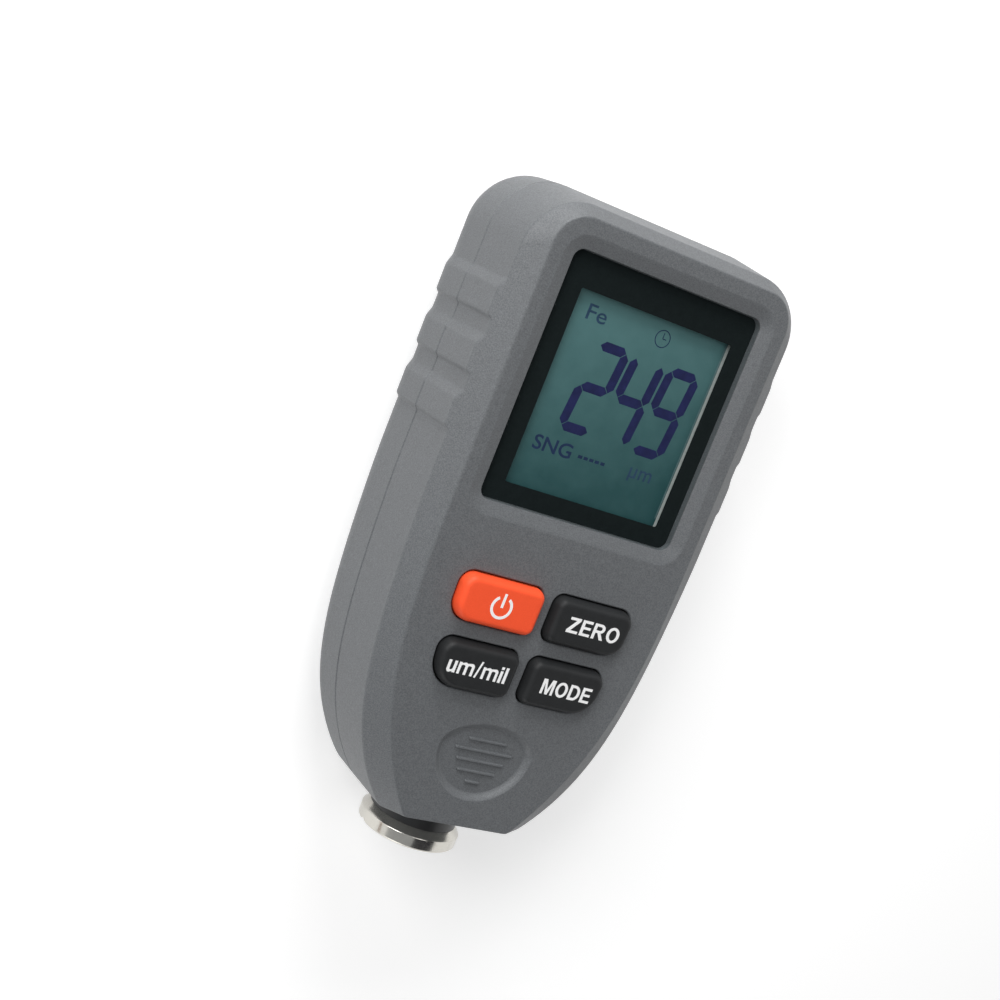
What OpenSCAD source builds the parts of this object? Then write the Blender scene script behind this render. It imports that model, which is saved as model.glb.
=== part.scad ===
// Handheld coating thickness gauge with a sprung probe, four keys and a display.
// It lies on its back: X is its width, +Y points to the top of the display, +Z out of the face.
// The origin is at the middle of the back, half way along the whole length.

/* [Case] */
// Width of the case beside the lens, on each side
case_side = 8.35; // [8:0.05:9]
// Length of the case above the lens
case_head = 6.9; // [6.6:0.1:7.4]
// Length of the case below the widest line of the thumb dish
case_tail = 13.8; // [13.5:0.1:15]
// Growth of the walls from the rim down to the seam
draft = 0.4; // [0.2:0.1:0.6]
// Growth of the wall above the lens from the rim down to the seam
head_draft = 1.5; // [1:0.1:1.8]
// Thickness of the side walls
wall = 2; // [1.6:0.1:2.2]
// Thickness of the front wall round the keys
face_wall = 2; // [1.6:0.1:2.2]
// Thickness of the back wall
back_wall = 2.4; // [2.2:0.1:2.6]
// Radius of the long edges of the back
back_r = 7; // [6:0.5:7.5]
// Radius of the upper corners at the rim
corner_r = 10; // [9:0.5:11]
// Radius of the upper corners of the flat face
face_corner_r = 5.6; // [5:0.1:6.2]
// Width of the bevel between the rim and the face
bevel_w = 3.6; // [3.2:0.1:3.8]
// Width of the bevel above the lens
head_bevel = 1.9; // [1.6:0.1:2.4]
// Height of the bevel
bevel_h = 2.8; // [2.4:0.1:3]

/* [Grip ridges] */
// How far a ridge stands out at the seam
ridge_out = 0.6; // [0.4:0.1:1]
// How far a ridge stands out at the rim
ridge_rim_out = 0.7; // [0.4:0.1:0.8]
// Distance from the middle of the lens up to the first ridge
ridge_first = 10.8; // [10.4:0.1:11.2]
// Distance from one ridge to the next
ridge_pitch = 9.2; // [8.6:0.1:9.6]
// Length of a ridge's flat top
ridge_l = 4.5; // [4:0.1:5]
// Length of the gentle slope at its upper end
ridge_ramp = 1.7; // [1:0.1:2]
// Length of the step at its lower end
ridge_step = 0.5; // [0.3:0.1:0.8]
// Number of ridges on each side
ridge_n = 3; // [2:1:3]

/* [Display] */
// Width of the lens
lens_w = 38.5; // [38:0.1:39]
// Length of the lens
lens_l = 42; // [41:0.1:42.4]
// Thickness of the lens
lens_t = 1.2; // [1:0.1:1.4]
// Corner radius of the lens
lens_r = 1.8; // [1.4:0.1:2.4]
// Depth of the lens below the face
lens_sink = 0.8; // [0.6:0.1:1]
// Gap round the lens
lens_gap = 0.1; // [0.05:0.05:0.15]
// Width of the sloped border round the lens
dish_w = 2.4; // [2:0.1:2.6]
// Width of the lens's seat at each side
seat_side = 2.05; // [1.8:0.05:2.3]
// Width of the lens's seat at each end
seat_end = 3; // [2.6:0.1:3.4]
// Gap between the panel and the window's side
panel_side = 0.9; // [0.7:0.1:1.1]
// How far the panel reaches under the seat at each end
panel_lap = 1; // [0.8:0.1:1.2]
// Thickness of the liquid crystal panel
panel_t = 2; // [1.8:0.1:2.2]
// Depth of the panel's front below the front of the lens
panel_sink = 2.5; // [2.5:0.1:2.7]
// Thickness of the light guide
light_t = 2.2; // [1.8:0.1:2.4]
// Wall of the panel's frame
frame_wall = 1.2; // [1:0.1:1.4]

/* [Keys] */
// Distance from the lens to the middle of the upper row of keys
key_step = 15.85; // [15.6:0.05:16.4]
// Distance between the two rows
key_pitch = 11.35; // [11.2:0.05:11.6]
// Width of an opening in the upper row
key_w_upper = 16.4; // [16:0.1:16.8]
// Width of an opening in the lower row
key_w_lower = 15.8; // [15.4:0.1:16]
// Length of an opening
key_l = 8.7; // [8.4:0.1:8.8]
// Bridge between the left and the right openings
key_bridge = 2; // [1.9:0.1:2.2]
// Gap round a key
key_gap = 0.2; // [0.15:0.05:0.25]
// Height of a key above the face
key_up = 2; // [1.6:0.1:2.2]
// Width of the slope round a key's top
key_slope_w = 0.9; // [0.7:0.1:1.1]
// Height of the slope round a key's top
key_slope_h = 1.1; // [0.8:0.1:1.3]
// Travel of a key
key_travel = 0.8; // [0.6:0.1:0.9]

/* [Thumb dish] */
// Distance from the lower row of keys to the widest line of the dish
thumb_step = 14.2; // [13.8:0.1:14.6]
// Width of the dish
thumb_w = 19; // [18:0.1:19.6]
// Reach of the dish above its widest line
thumb_up = 5.3; // [4.8:0.1:5.6]
// Reach of the dish below its widest line
thumb_down = 9.2; // [8.8:0.1:9.4]
// Depth of the dish
thumb_depth = 0.9; // [0.6:0.1:1]
// Width of the slope round the dish
thumb_slope = 1.5; // [1:0.1:1.8]
// Thickness and height of the raised lines in the dish
thumb_rib = 0.45; // [0.3:0.05:0.6]
// Distance between the raised lines
thumb_rib_pitch = 1.9; // [1.7:0.05:2]

/* [Probe] */
// Radius of the probe's metal ring
ring_r = 9.1; // [9:0.1:9.3]
// Length of the ring's straight band
ring_band = 2.3; // [2.1:0.1:2.5]
// Length of the cone behind the band
ring_cone = 1.3; // [1.1:0.1:1.4]
// Radius of the hole in the ring's face
ring_hole_r = 5.4; // [5.2:0.1:5.6]
// Depth of the V groove across the face
groove_depth = 0.8; // [0.6:0.1:1]
// Radius of the sliding neck
neck_r = 7.9; // [7.8:0.1:8]
// Wall of the neck
neck_wall = 2; // [1.9:0.1:2.1]
// Gap between the neck and the collar
neck_gap = 0.1; // [0.05:0.05:0.1]
// Radius of the case's collar
collar_r = 9.4; // [9.3:0.1:9.6]
// How far the collar stands out
collar_out = 1.8; // [1.6:0.1:2]
// Travel of the probe
probe_travel = 2; // [1.5:0.1:2.2]
// Gap left between the ring and the collar when the probe is pushed in
neck_spare = 0.8; // [0.6:0.1:1]
// Length of the guide sleeve
sleeve_l = 18; // [17.5:0.1:19]
// Outer radius of the guide sleeve
sleeve_r = 10.2; // [10.2:0.05:10.35]
// Gap between the guide sleeve and the back wall
sleeve_lift = 1; // [0.8:0.1:1.2]
// Wall of the guide sleeve
sleeve_wall = 1; // [0.8:0.1:1]
// Radius of the magnetic core
core_r = 1.9; // [1.7:0.1:2]
// Wire thickness of the probe's spring
probe_wire = 0.8; // [0.7:0.1:0.9]

/* [Batteries] */
// Distance from the top of the rim to the battery bay
bay_margin = 4.6; // [4.4:0.1:5]
// Diameter of a cell
cell_d = 10.5; // [10.2:0.1:10.5]
// Length of a cell with its nub
cell_l = 44.5; // [44:0.1:44.6]
// Gap round each cell
cell_gap = 0.3; // [0.2:0.1:0.3]
// Length of a compressed contact spring
contact_spring_l = 4.2; // [3.8:0.1:4.4]
// Thickness of a contact plate
contact_t = 0.4; // [0.3:0.1:0.5]
// Thickness of the bay's walls
bay_wall = 1.2; // [1:0.1:1.3]
// Thickness of the battery door
door_t = 1.5; // [1.4:0.05:1.5]
// Gap round the battery door
door_gap = 0.2; // [0.15:0.05:0.25]
// Width of the ledge that the door lies on
ledge_w = 1.2; // [1:0.1:1.4]

/* [Board and screws] */
// Thickness of the circuit board
board_t = 1.6; // [1.4:0.1:1.8]
// Height of the board above the roof of the bay
board_lift = 3.2; // [3:0.1:3.4]
// Gap between the board and the guide sleeve
board_tail = 1.75; // [1.5:0.05:2]
// Gap between the board and the walls
board_gap = 1.2; // [1:0.1:1.4]
// Height of a key switch
switch_h = 3.1; // [2.8:0.1:3.3]
// Width of a key switch
switch_w = 6; // [5.6:0.1:6.2]
// Radius of a switch's plunger
plunger_r = 1.6; // [1.4:0.1:1.7]
// Distance of the upper case screws from the sides at the rim
boss_side = 5.4; // [5.2:0.1:5.8]
// Distance of the upper case screws from the top of the rim
boss_drop = 6.2; // [6:0.1:6.6]
// Distance of the lower case screws from the middle
low_boss_x = 15.2; // [15:0.1:15.6]
// Distance of the lower case screws from the lower end
low_boss_up = 15.5; // [15:0.1:16]
// Radius of a case screw's head
screw_head_r = 2.1; // [2:0.1:2.1]
// Radius of a case screw's shank
screw_r = 1; // [0.9:0.05:1.05]
// Radius of a board screw's head
board_screw_head_r = 1.7; // [1.5:0.1:1.8]

/* [Hidden] */

// Overrun of every cut, and the thickness of a hull's end slices
over = 0.5;
slice = 0.01;

// Heights, from the battery door up to the lens
bay_w = 2 * cell_d + 3 * cell_gap;
bay_l = cell_l + contact_spring_l + 2 * contact_t + cell_gap;
cell_z = door_t + cell_gap + cell_d / 2;
cell_x = (cell_d + cell_gap) / 2;
roof_z = cell_z + cell_d / 2 + cell_gap;
bay_top = roof_z + bay_wall;
board_z = bay_top + board_lift;
board_top = board_z + board_t;
frame_foot = 2;
light_z = board_top + frame_foot;
panel_z = light_z + light_t;
panel_top = panel_z + panel_t;
lens_z = panel_top + panel_sink;
lens_under = lens_z - lens_t;

// The whole case, which follows from what it holds, with the probe's axis in the seam
case_w = lens_w + 2 * case_side;
case_l = case_head + lens_l + key_step + key_pitch + thumb_step + case_tail;
case_t = lens_z + lens_sink;
seam_z = back_wall + sleeve_lift + sleeve_r;
ring_out = collar_out + probe_travel + neck_spare + ring_cone + ring_band;
total_l = head_draft + case_l + ring_out;
top_y = total_l / 2 - head_draft;
end_y = top_y - case_l;
rim_z = case_t - bevel_h;
ceiling_z = case_t - face_wall;

// Outlines: the sides are straight down to the taper, then draw in to the lower end
taper_share = 0.463;
taper_y = top_y - taper_share * case_l;
taper_l = taper_y - end_y;
// Each row: gentle draw, its power, strong draw, its power
rim_taper_shares = [0.135, 1.5, 0.36, 5];
face_taper_shares = [0, 1, 0.575, 3.2];
corner_n = 12;
taper_n = 22;

function draw(half, t, s) = half * (1 - s[0] * pow(t, s[1]) - s[2] * pow(t, s[3]));
function draw_slope(half, t, s) =
    half * (s[0] * s[1] * pow(t, s[1] - 1) + s[2] * s[3] * pow(t, s[3] - 1)) / taper_l;

// Right half of an outline, moved inwards by inset, from the top to the lower end
function half_outline(half, top, r, s, inset) = concat(
    [for (i = [0:corner_n]) let (a = 90 - 90 * i / corner_n)
        [half - r + (r - inset) * cos(a), top - r + (r - inset) * sin(a)]],
    [for (i = [0:taper_n]) let (t = i / taper_n * (taper_l - inset) / taper_l,
            slope = draw_slope(half, t, s))
        [draw(half, t, s) - inset * sqrt(1 + slope * slope), taper_y - t * taper_l]]);
function flip(points) = [for (i = [len(points) - 1:-1:0]) [-points[i][0], points[i][1]]];
function outline(half, top, r, s, inset) =
    let (right = half_outline(half, top, r, s, inset)) concat(right, flip(right));

function seam_outline(inset) =
    outline(case_w / 2 + draft, top_y + head_draft, corner_r + draft, rim_taper_shares, inset);
function rim_outline(inset) =
    outline(case_w / 2, top_y, corner_r, rim_taper_shares, inset);
function face_outline(inset) =
    outline(case_w / 2 - bevel_w, top_y - head_bevel, face_corner_r, face_taper_shares, inset);

// A polygon with each corner rounded to its own radius
function unit(v) = v / norm(v);
function round_corner(p, q, r, n) = // p: corner, q: [corner before, corner after]
    let (u = unit(q[0] - p), v = unit(q[1] - p), half = acos(u * v) / 2,
        c = p + unit(u + v) * r / sin(half),
        a = atan2((p + u * r / tan(half) - c)[1], (p + u * r / tan(half) - c)[0]),
        b = atan2((p + v * r / tan(half) - c)[1], (p + v * r / tan(half) - c)[0]),
        turn = (b - a + 540) % 360 - 180)
    [for (i = [0:n]) c + r * [cos(a + turn * i / n), sin(a + turn * i / n)]];
function rounded(points, radii, n) = [for (i = [0:len(points) - 1])
    each round_corner(points[i],
        [points[(i + len(points) - 1) % len(points)], points[(i + 1) % len(points)]],
        radii[i], n)];
function rounded_box(w, l, r) =
    rounded([[-w / 2, l / 2], [w / 2, l / 2], [w / 2, -l / 2], [-w / 2, -l / 2]],
        [r, r, r, r], round_n);
round_n = 6;

module sheet(points, z, t) {
    translate([0, 0, z]) linear_extrude(t) polygon(points);
}

// A box by its middle in X and Y and its two heights
module block(x, y, w, l, z0, z1) {
    translate([x - w / 2, y - l / 2, z0]) cube([w, l, z1 - z0]);
}

module post(x, y, r, z0, z1) {
    translate([x, y, z0]) cylinder(r = r, h = z1 - z0, $fn = 48);
}

module mirrored() {
    children();
    mirror([1, 0, 0]) children();
}

// A round wire along a helix about Z, from radius r0 at the bottom to r1 at the top
module helix(r0, r1, h, turns, wire_r, sides, steps) {
    n = turns * steps;
    points = [for (i = [0:n])
        let (t = i / n, a = 360 * turns * t, r = r0 + (r1 - r0) * t, u = [cos(a), sin(a), 0],
            w = unit([-r * sin(a), r * cos(a), h / (turns * 2 * PI)]), v = cross(w, u))
        each [for (k = [0:sides - 1]) r * u + [0, 0, h * t] +
            wire_r * (u * cos(360 * k / sides) + v * sin(360 * k / sides))]];
    polyhedron(points, concat(
        [[for (k = [0:sides - 1]) k]],
        [[for (k = [sides - 1:-1:0]) n * sides + k]],
        [for (i = [0:n - 1], k = [0:sides - 1]) let (m = (k + 1) % sides)
            [i * sides + m, i * sides + k, (i + 1) * sides + k, (i + 1) * sides + m]]));
}

// Display
lens_y = top_y - case_head - lens_l / 2;
window_w = lens_w - 2 * seat_side;
window_l = lens_l - 2 * seat_end;
panel_w = window_w - 2 * panel_side;
panel_l = window_l + 2 * panel_lap;
panel_y = lens_y - 0.5 * frame_wall;
window_y = lens_y - 0.8 * frame_wall;
panel_slack = 0.1;
ledge_t = lens_under - panel_top - panel_slack;
zebra_w = 2;
frame_r = 0.6;
light_l = panel_l - 2 * zebra_w - frame_wall;

// Keys
key_top_y = lens_y - lens_l / 2 - key_step;
key_y = [key_top_y, key_top_y - key_pitch];
thumb_y = key_y[1] - thumb_step;
key_w = [key_w_upper, key_w_lower];
key_x = [(key_bridge + key_w_upper) / 2, (key_bridge + key_w_lower) / 2];
key_inner_r = 2;
key_outer_r = 2.5;
key_low_r = [3.6, 5];
key_slant = [0.3, 0.9];
key_top = case_t + key_up;
flange_out = 0.7;
flange_t = 1;
flange_gap = 0.05;
flange_top = ceiling_z - flange_gap;
stem_r = 2.2;
plunger_up = 0.9;
plunger_gap = 0.1;
plunger_top = board_top + switch_h + plunger_up;
plunger_l = 2;
plunger_hole = plunger_l - plunger_up + key_travel + plunger_gap;

// A key's outline for the right-hand side, moved inwards by inset
function key_outline(row, inset) =
    let (w = key_w[row] / 2 - inset, l = key_l / 2 - inset)
    rounded([[-w, l], [w, l], [w - key_slant[row], -l], [-w, -l]],
        [key_inner_r - inset, key_outer_r - inset, key_low_r[row] - inset, key_inner_r - inset],
        round_n);

// Probe, measured outwards from the lower end of the case
collar_bore = neck_r + neck_gap;
neck_sink = 1;
neck_end = ring_out - neck_sink;
neck_flange_r = sleeve_r - sleeve_wall - neck_gap - neck_gap;
neck_flange_t = 1.4;
stop_gap = 0.05;
sleeve_top = -wall - stop_gap;
spool_l = 15;
spool_flange_t = 1;
spool_wall = 0.9;
spool_r = core_r + spool_wall;
spool_gap = 0.05;
edge_r = 0.4;
core_l = 18;
core_sink = 0.1;
coil_gap = 0.1;
bobbin_r = ring_hole_r - spool_gap;
spring_r = neck_flange_r - probe_wire;

// Turns a child that points along +Z so that it points out of the lower end
module at_probe() {
    translate([0, end_y, seam_z]) rotate([90, 0, 0]) children();
}

// Batteries
bay_end = top_y - bay_margin;
bay_y = bay_end - bay_l / 2;
door_w = bay_w + 2 * ledge_w - 2 * door_gap;
door_l = bay_l + 2 * ledge_w - 2 * door_gap;
door_r = 2;
door_sink = 0.1;
door_rest = 0.05;
ledge_z = door_t + door_rest;
tongue_w = 2.6;
side_tongue_w = 1.2;
side_tongue_x = (bay_w - side_tongue_w) / 2 - door_gap;
// Middle and width of each tongue
tongues = [[0, tongue_w], [side_tongue_x, side_tongue_w], [-side_tongue_x, side_tongue_w]];
tongue_t = 1;
tongue_z = back_wall + door_gap / 2;
tongue_out = 2.2;
riser_t = 1.2;
swing_gap = 0.3;
latch_t = 1;
latch_h = 2.1;
scoop_w = 11;
scoop_l = 5;
scoop_depth = 0.6;
scoop_up = 5;
scoop_y = bay_y - bay_l / 2 + scoop_up;
contact_w = 7.4;
contact_h = 6.2;
contact_wire = 0.35;
nub_r = 1.9;
nub_l = 0.9;

// Bosses and screws
boss_r = 2.7;
boss_places = [[case_w / 2 - boss_side, top_y - boss_drop], [low_boss_x, end_y + low_boss_up]];
shank_clearance = 0.2;
recess_r = screw_head_r + shank_clearance;
recess_wall = 0.9;
recess_z = 6;
screw_l = 13;
head_h = 1.3;
pilot_gap = 0.02;
standoff_r = 1.9;
standoff_side = 6.2;
standoff_up = 6;
key_standoff_out = 2.6;
key_standoff_up = 5.2;
standoff_places = [[case_w / 2 - standoff_side, lens_y + standoff_up],
    [key_bridge / 2 + key_w_upper + key_standoff_out, key_y[1] + key_standoff_up]];
board_screw_r = 0.7;
board_screw_l = 5;
board_screw_head_h = 1.1;
board_end = end_y - sleeve_top + sleeve_l + board_tail;
lip_h = 1.2;
lip_gap = 0.1;
cradle_t = 1.2;
cradle_places = [5.5, 15];
cradle_w = 26;

// Solid of the front shell without its cavity
module front_form() {
    hull() {
        sheet(seam_outline(0), seam_z, slice);
        sheet(rim_outline(0), rim_z, slice);
        sheet(face_outline(0), case_t - slice, slice);
    }
}

// The same form grown at its sides, which bounds the ridges
module front_ridge_form() {
    drop = ridge_rim_out * bevel_h / bevel_w;
    hull() {
        sheet(seam_outline(-ridge_out), seam_z, slice);
        sheet(rim_outline(-ridge_rim_out), rim_z - drop, slice);
        sheet(face_outline(0), case_t - slice, slice);
    }
}

// Insets and heights of the rounded back edge
back_levels = [for (a = [0:15:75]) [back_r * (1 - sin(a)), back_r * (1 - cos(a))]];

module rear_form(grow) {
    hull() {
        for (level = back_levels) sheet(seam_outline(level[0] - grow), level[1], slice);
        sheet(seam_outline(-grow), back_r, seam_z - back_r);
    }
}

// Strips of trapezoid bumps along one side, over the whole depth of the gauge
module ridge_strips() {
    x0 = case_w / 2 - wall / 2;
    x1 = case_w / 2 + draft + ridge_out;
    mirrored() for (i = [0:ridge_n - 1]) {
        y = lens_y + ridge_first - i * ridge_pitch;
        sheet([[x0, y + ridge_ramp], [case_w / 2, y + ridge_ramp], [x1, y], [x1, y - ridge_l],
            [case_w / 2, y - ridge_l - ridge_step], [x0, y - ridge_l - ridge_step]], 0, case_t);
    }
}

module collar(z0, z1) {
    intersection() {
        at_probe() translate([0, 0, -wall]) cylinder(r = collar_r, h = wall + collar_out, $fn = 96);
        block(0, end_y, 4 * collar_r, 4 * collar_r, z0, z1);
    }
}

module collar_hole() {
    at_probe() translate([0, 0, -wall - over])
        cylinder(r = collar_bore, h = wall + collar_out + 2 * over, $fn = 96);
}

// Room for the guide sleeve and the neck's flange
module sleeve_room() {
    at_probe() translate([0, 0, -wall - sleeve_l - over])
        cylinder(r = sleeve_r, h = sleeve_l + over, $fn = 96);
}

module cradles(z0, z1) {
    for (s = cradle_places) block(0, end_y + s, cradle_w, cradle_t, z0, z1);
}

module thumb_egg(inset, z) {
    a = thumb_w / 2 - inset;
    sheet([for (k = [0:5:355]) [a * cos(k), thumb_y +
        sin(k) * (sin(k) > 0 ? thumb_up - inset : thumb_down - inset)]], z, slice);
}

// Raised lines: distance below the widest line in pitches, and length as a share of the dish
thumb_rib_shares = [[-1, 0.4], [0, 0.6], [1, 0.5], [2, 0.4], [3, 0.15]];

module front_case() {
    color("dimgray") {
        difference() {
            union() {
                difference() {
                    union() {
                        front_form();
                        intersection() {
                            ridge_strips();
                            front_ridge_form();
                        }
                        collar(seam_z, case_t);
                    }
                    hull() {
                        sheet(seam_outline(wall), seam_z - over, slice);
                        sheet(rim_outline(wall), rim_z - bevel_h / 2, slice);
                        sheet(face_outline(wall / 2), ceiling_z - slice, slice);
                    }
                }
                // Ledge round the window, which the lens lies on
                block(0, lens_y, lens_w + wall, lens_l + wall, lens_under - ledge_t, ceiling_z + over);
                mirrored() for (p = boss_places) post(p[0], p[1], boss_r, seam_z, ceiling_z + slice);
                mirrored() for (p = standoff_places)
                    post(p[0], p[1], standoff_r, board_top, ceiling_z + slice);
                cradles(seam_z, ceiling_z + slice);
            }
            // Sloped border and pocket of the lens
            hull() {
                translate([0, lens_y, 0]) sheet(rounded_box(lens_w + 2 * dish_w, lens_l + 2 * dish_w,
                    lens_r + dish_w), case_t, slice);
                translate([0, lens_y, 0]) sheet(rounded_box(lens_w + 2 * lens_gap, lens_l + 2 * lens_gap,
                    lens_r + lens_gap), lens_z, slice);
            }
            translate([0, lens_y, 0]) sheet(rounded_box(lens_w + 2 * lens_gap, lens_l + 2 * lens_gap,
                lens_r + lens_gap), lens_under, lens_t + slice);
            translate([0, window_y, 0]) sheet(rounded_box(window_w, window_l, lens_r),
                lens_under - ledge_t - over, ledge_t + 2 * over);
            // Key openings
            mirrored() for (row = [0, 1]) translate([key_x[row], key_y[row], 0])
                sheet(key_outline(row, 0), ceiling_z - over, face_wall + 2 * over);
            // Thumb dish
            hull() {
                thumb_egg(0, case_t);
                thumb_egg(thumb_slope, case_t - thumb_depth);
            }
            // Groove for the rear shell's lip
            difference() {
                sheet(seam_outline(wall / 2), seam_z - over, over + lip_h + lip_gap);
                sheet(seam_outline(wall), seam_z - 2 * over, 3 * over + lip_h);
            }
            mirrored() for (p = boss_places)
                post(p[0], p[1], screw_r + pilot_gap, seam_z - over, recess_z + screw_l + over);
            mirrored() for (p = standoff_places)
                post(p[0], p[1], board_screw_r + pilot_gap, board_top - over,
                    board_z + board_screw_l + over);
            collar_hole();
            sleeve_room();
        }
        for (row = thumb_rib_shares)
            block(0, thumb_y - (row[0] + 0.05) * thumb_rib_pitch, row[1] * thumb_w,
                thumb_rib, case_t - thumb_depth - thumb_rib, case_t - thumb_depth + thumb_rib);
    }
}

module rear_case() {
    color("dimgray") difference() {
        union() {
            difference() {
                union() {
                    rear_form(0);
                    intersection() {
                        ridge_strips();
                        rear_form(ridge_out);
                    }
                    collar(0, seam_z);
                }
                hull() {
                    sheet(seam_outline(wall), back_r, seam_z - back_r + over);
                    sheet(seam_outline(back_r), back_wall, slice);
                }
            }
            // Lip that lines up the shells
            difference() {
                sheet(seam_outline(wall / 2 + lip_gap), seam_z - over, over + lip_h);
                sheet(seam_outline(wall), seam_z - 2 * over, 3 * over + lip_h);
            }
            block(0, bay_y, bay_w + 2 * bay_wall, bay_l + 2 * bay_wall, back_wall - over, bay_top);
            mirrored() for (p = boss_places) {
                post(p[0], p[1], boss_r, back_wall - over, seam_z);
                post(p[0], p[1], recess_r + recess_wall, back_wall - over, recess_z + recess_wall);
            }
            cradles(back_wall - over, seam_z);
        }
        // Battery bay, and the rebate that takes the door
        block(0, bay_y, bay_w, bay_l, -over, roof_z);
        translate([0, bay_y, 0]) sheet(rounded_box(door_w + 2 * door_gap, door_l + 2 * door_gap,
            door_r + door_gap), -over, over + ledge_z);
        for (p = tongues) {
            block(p[0], bay_end + ledge_w / 2, p[1] + 2 * door_gap, ledge_w + 2 * door_gap,
                ledge_z, tongue_z + tongue_t + swing_gap);
            block(p[0], bay_end + (tongue_out + door_gap) / 2, p[1] + 2 * door_gap,
                tongue_out + door_gap, back_wall, tongue_z + tongue_t + swing_gap);
        }
        mirrored() for (p = boss_places) {
            post(p[0], p[1], recess_r, -over, recess_z);
            post(p[0], p[1], screw_r + shank_clearance, recess_z - over, seam_z + over);
        }
        collar_hole();
        sleeve_room();
    }
}

module battery_door() {
    color("dimgray") {
        difference() {
            translate([0, bay_y, 0]) sheet(rounded_box(door_w, door_l, door_r), door_sink,
                door_t - door_sink);
            translate([0, scoop_y, 0]) sheet(rounded_box(scoop_w, scoop_l, scoop_l / 2 - slice),
                door_sink - over, over + scoop_depth);
        }
        for (i = [-1, 0, 1]) block(0, scoop_y + i * scoop_l / 4, scoop_w * 0.6, thumb_rib,
            door_sink, door_sink + scoop_depth + slice);
        for (p = tongues) {
            block(p[0], bay_end - riser_t / 2, p[1], riser_t, door_t - slice, tongue_z + tongue_t);
            block(p[0], bay_end + (tongue_out - riser_t) / 2, p[1], tongue_out + riser_t, tongue_z,
                tongue_z + tongue_t);
        }
        block(0, bay_end - bay_l + latch_t / 2 + 2 * door_gap, tongue_w, latch_t, door_t - slice,
            door_t + latch_h);
    }
}

module display_lens() {
    color("black") translate([0, lens_y, 0])
        sheet(rounded_box(lens_w, lens_l, lens_r), lens_under, lens_t);
}

module lcd_panel() {
    color("cadetblue") block(0, panel_y, panel_w, panel_l, panel_z, panel_top);
}

module lcd_backlight() {
    color("white") block(0, panel_y - (panel_l - light_l) / 2, panel_w, light_l, light_z, panel_z);
}

module lcd_frame() {
    w = panel_w + 2 * frame_wall;
    l = panel_l + 2 * frame_wall;
    color("gainsboro") difference() {
        translate([0, panel_y, 0]) sheet(rounded_box(w, l, frame_r), board_top, panel_top - board_top);
        block(0, panel_y, panel_w, panel_l, light_z, panel_top + over);
        block(0, panel_y, panel_w - 2 * frame_wall, panel_l - 2 * frame_wall, board_top - over,
            light_z + over);
        block(0, panel_y + panel_l / 2 - zebra_w / 2, panel_w - 2 * frame_wall, zebra_w,
            board_top - over, light_z + over);
    }
}

module zebra_strip() {
    color("darkslategray") block(0, panel_y + panel_l / 2 - zebra_w / 2,
        panel_w - 3 * frame_wall, zebra_w, board_top, panel_z);
}

module main_board() {
    color("darkgreen") difference() {
        intersection() {
            sheet(rim_outline(wall + board_gap), board_z, board_t);
            block(0, (board_end + top_y) / 2, case_w, top_y - board_end, board_z - over, board_top + over);
        }
        mirrored() for (p = boss_places)
            post(p[0], p[1], boss_r + board_gap / 2, board_z - over, board_top + over);
        mirrored() for (p = standoff_places)
            post(p[0], p[1], board_screw_r + shank_clearance, board_z - over, board_top + over);
    }
}

// Chips on the back of the board: place from the upper keys, width, length, height
chip_places = [[0, -1, 9, 9, 1.2], [-13, 6, 6, 5, 1], [12, 5, 5, 6, 1], [13, -5, 4, 8, 1.1]];

module board_chips() {
    color("black") for (c = chip_places)
        block(c[0], key_y[0] + c[1], c[2], c[3], board_z - c[4], board_z);
}

buzzer_place = [-12, -6.2];
buzzer_r = 4.2;
buzzer_h = 2.6;
module buzzer() {
    color("black") difference() {
        post(buzzer_place[0], key_y[0] + buzzer_place[1], buzzer_r, board_z - buzzer_h, board_z);
        post(buzzer_place[0], key_y[0] + buzzer_place[1], buzzer_r / 4, board_z - buzzer_h - over,
            board_z - buzzer_h / 2);
    }
}

module key(side, row) {
    shoulder = key_top - key_slope_h;
    translate([side * key_x[row], key_y[row], 0]) mirror([side < 0 ? 1 : 0, 0, 0]) {
        hull() {
            sheet(key_outline(row, key_gap), shoulder - slice, slice);
            sheet(key_outline(row, key_gap + key_slope_w / 4), key_top - key_slope_h / 3, slice);
            sheet(key_outline(row, key_gap + key_slope_w), key_top - slice, slice);
        }
        sheet(key_outline(row, key_gap), flange_top - flange_t, shoulder - flange_top + flange_t);
        sheet(key_outline(row, -flange_out), flange_top - flange_t, flange_t);
        post(0, 0, stem_r, plunger_top, flange_top);
    }
}

module plunger(side, row) {
    color("ivory") post(side * key_x[row], key_y[row], plunger_r, plunger_top - plunger_l, plunger_top);
}

module key_switch(side, row) {
    x = side * key_x[row];
    color("silver") difference() {
        block(x, key_y[row], switch_w, switch_w, board_top, board_top + switch_h);
        post(x, key_y[row], plunger_r + plunger_gap, board_top + switch_h - plunger_hole,
            board_top + switch_h + over);
    }
}

module power_key() color("orangered") key(-1, 0);
module zero_key() color("darkslategray") key(1, 0);
module unit_key() color("darkslategray") key(-1, 1);
module mode_key() color("darkslategray") key(1, 1);
module power_plunger() plunger(-1, 0);
module zero_plunger() plunger(1, 0);
module unit_plunger() plunger(-1, 1);
module mode_plunger() plunger(1, 1);
module power_switch() key_switch(-1, 0);
module zero_switch() key_switch(1, 0);
module unit_switch() key_switch(-1, 1);
module mode_switch() key_switch(1, 1);

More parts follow.
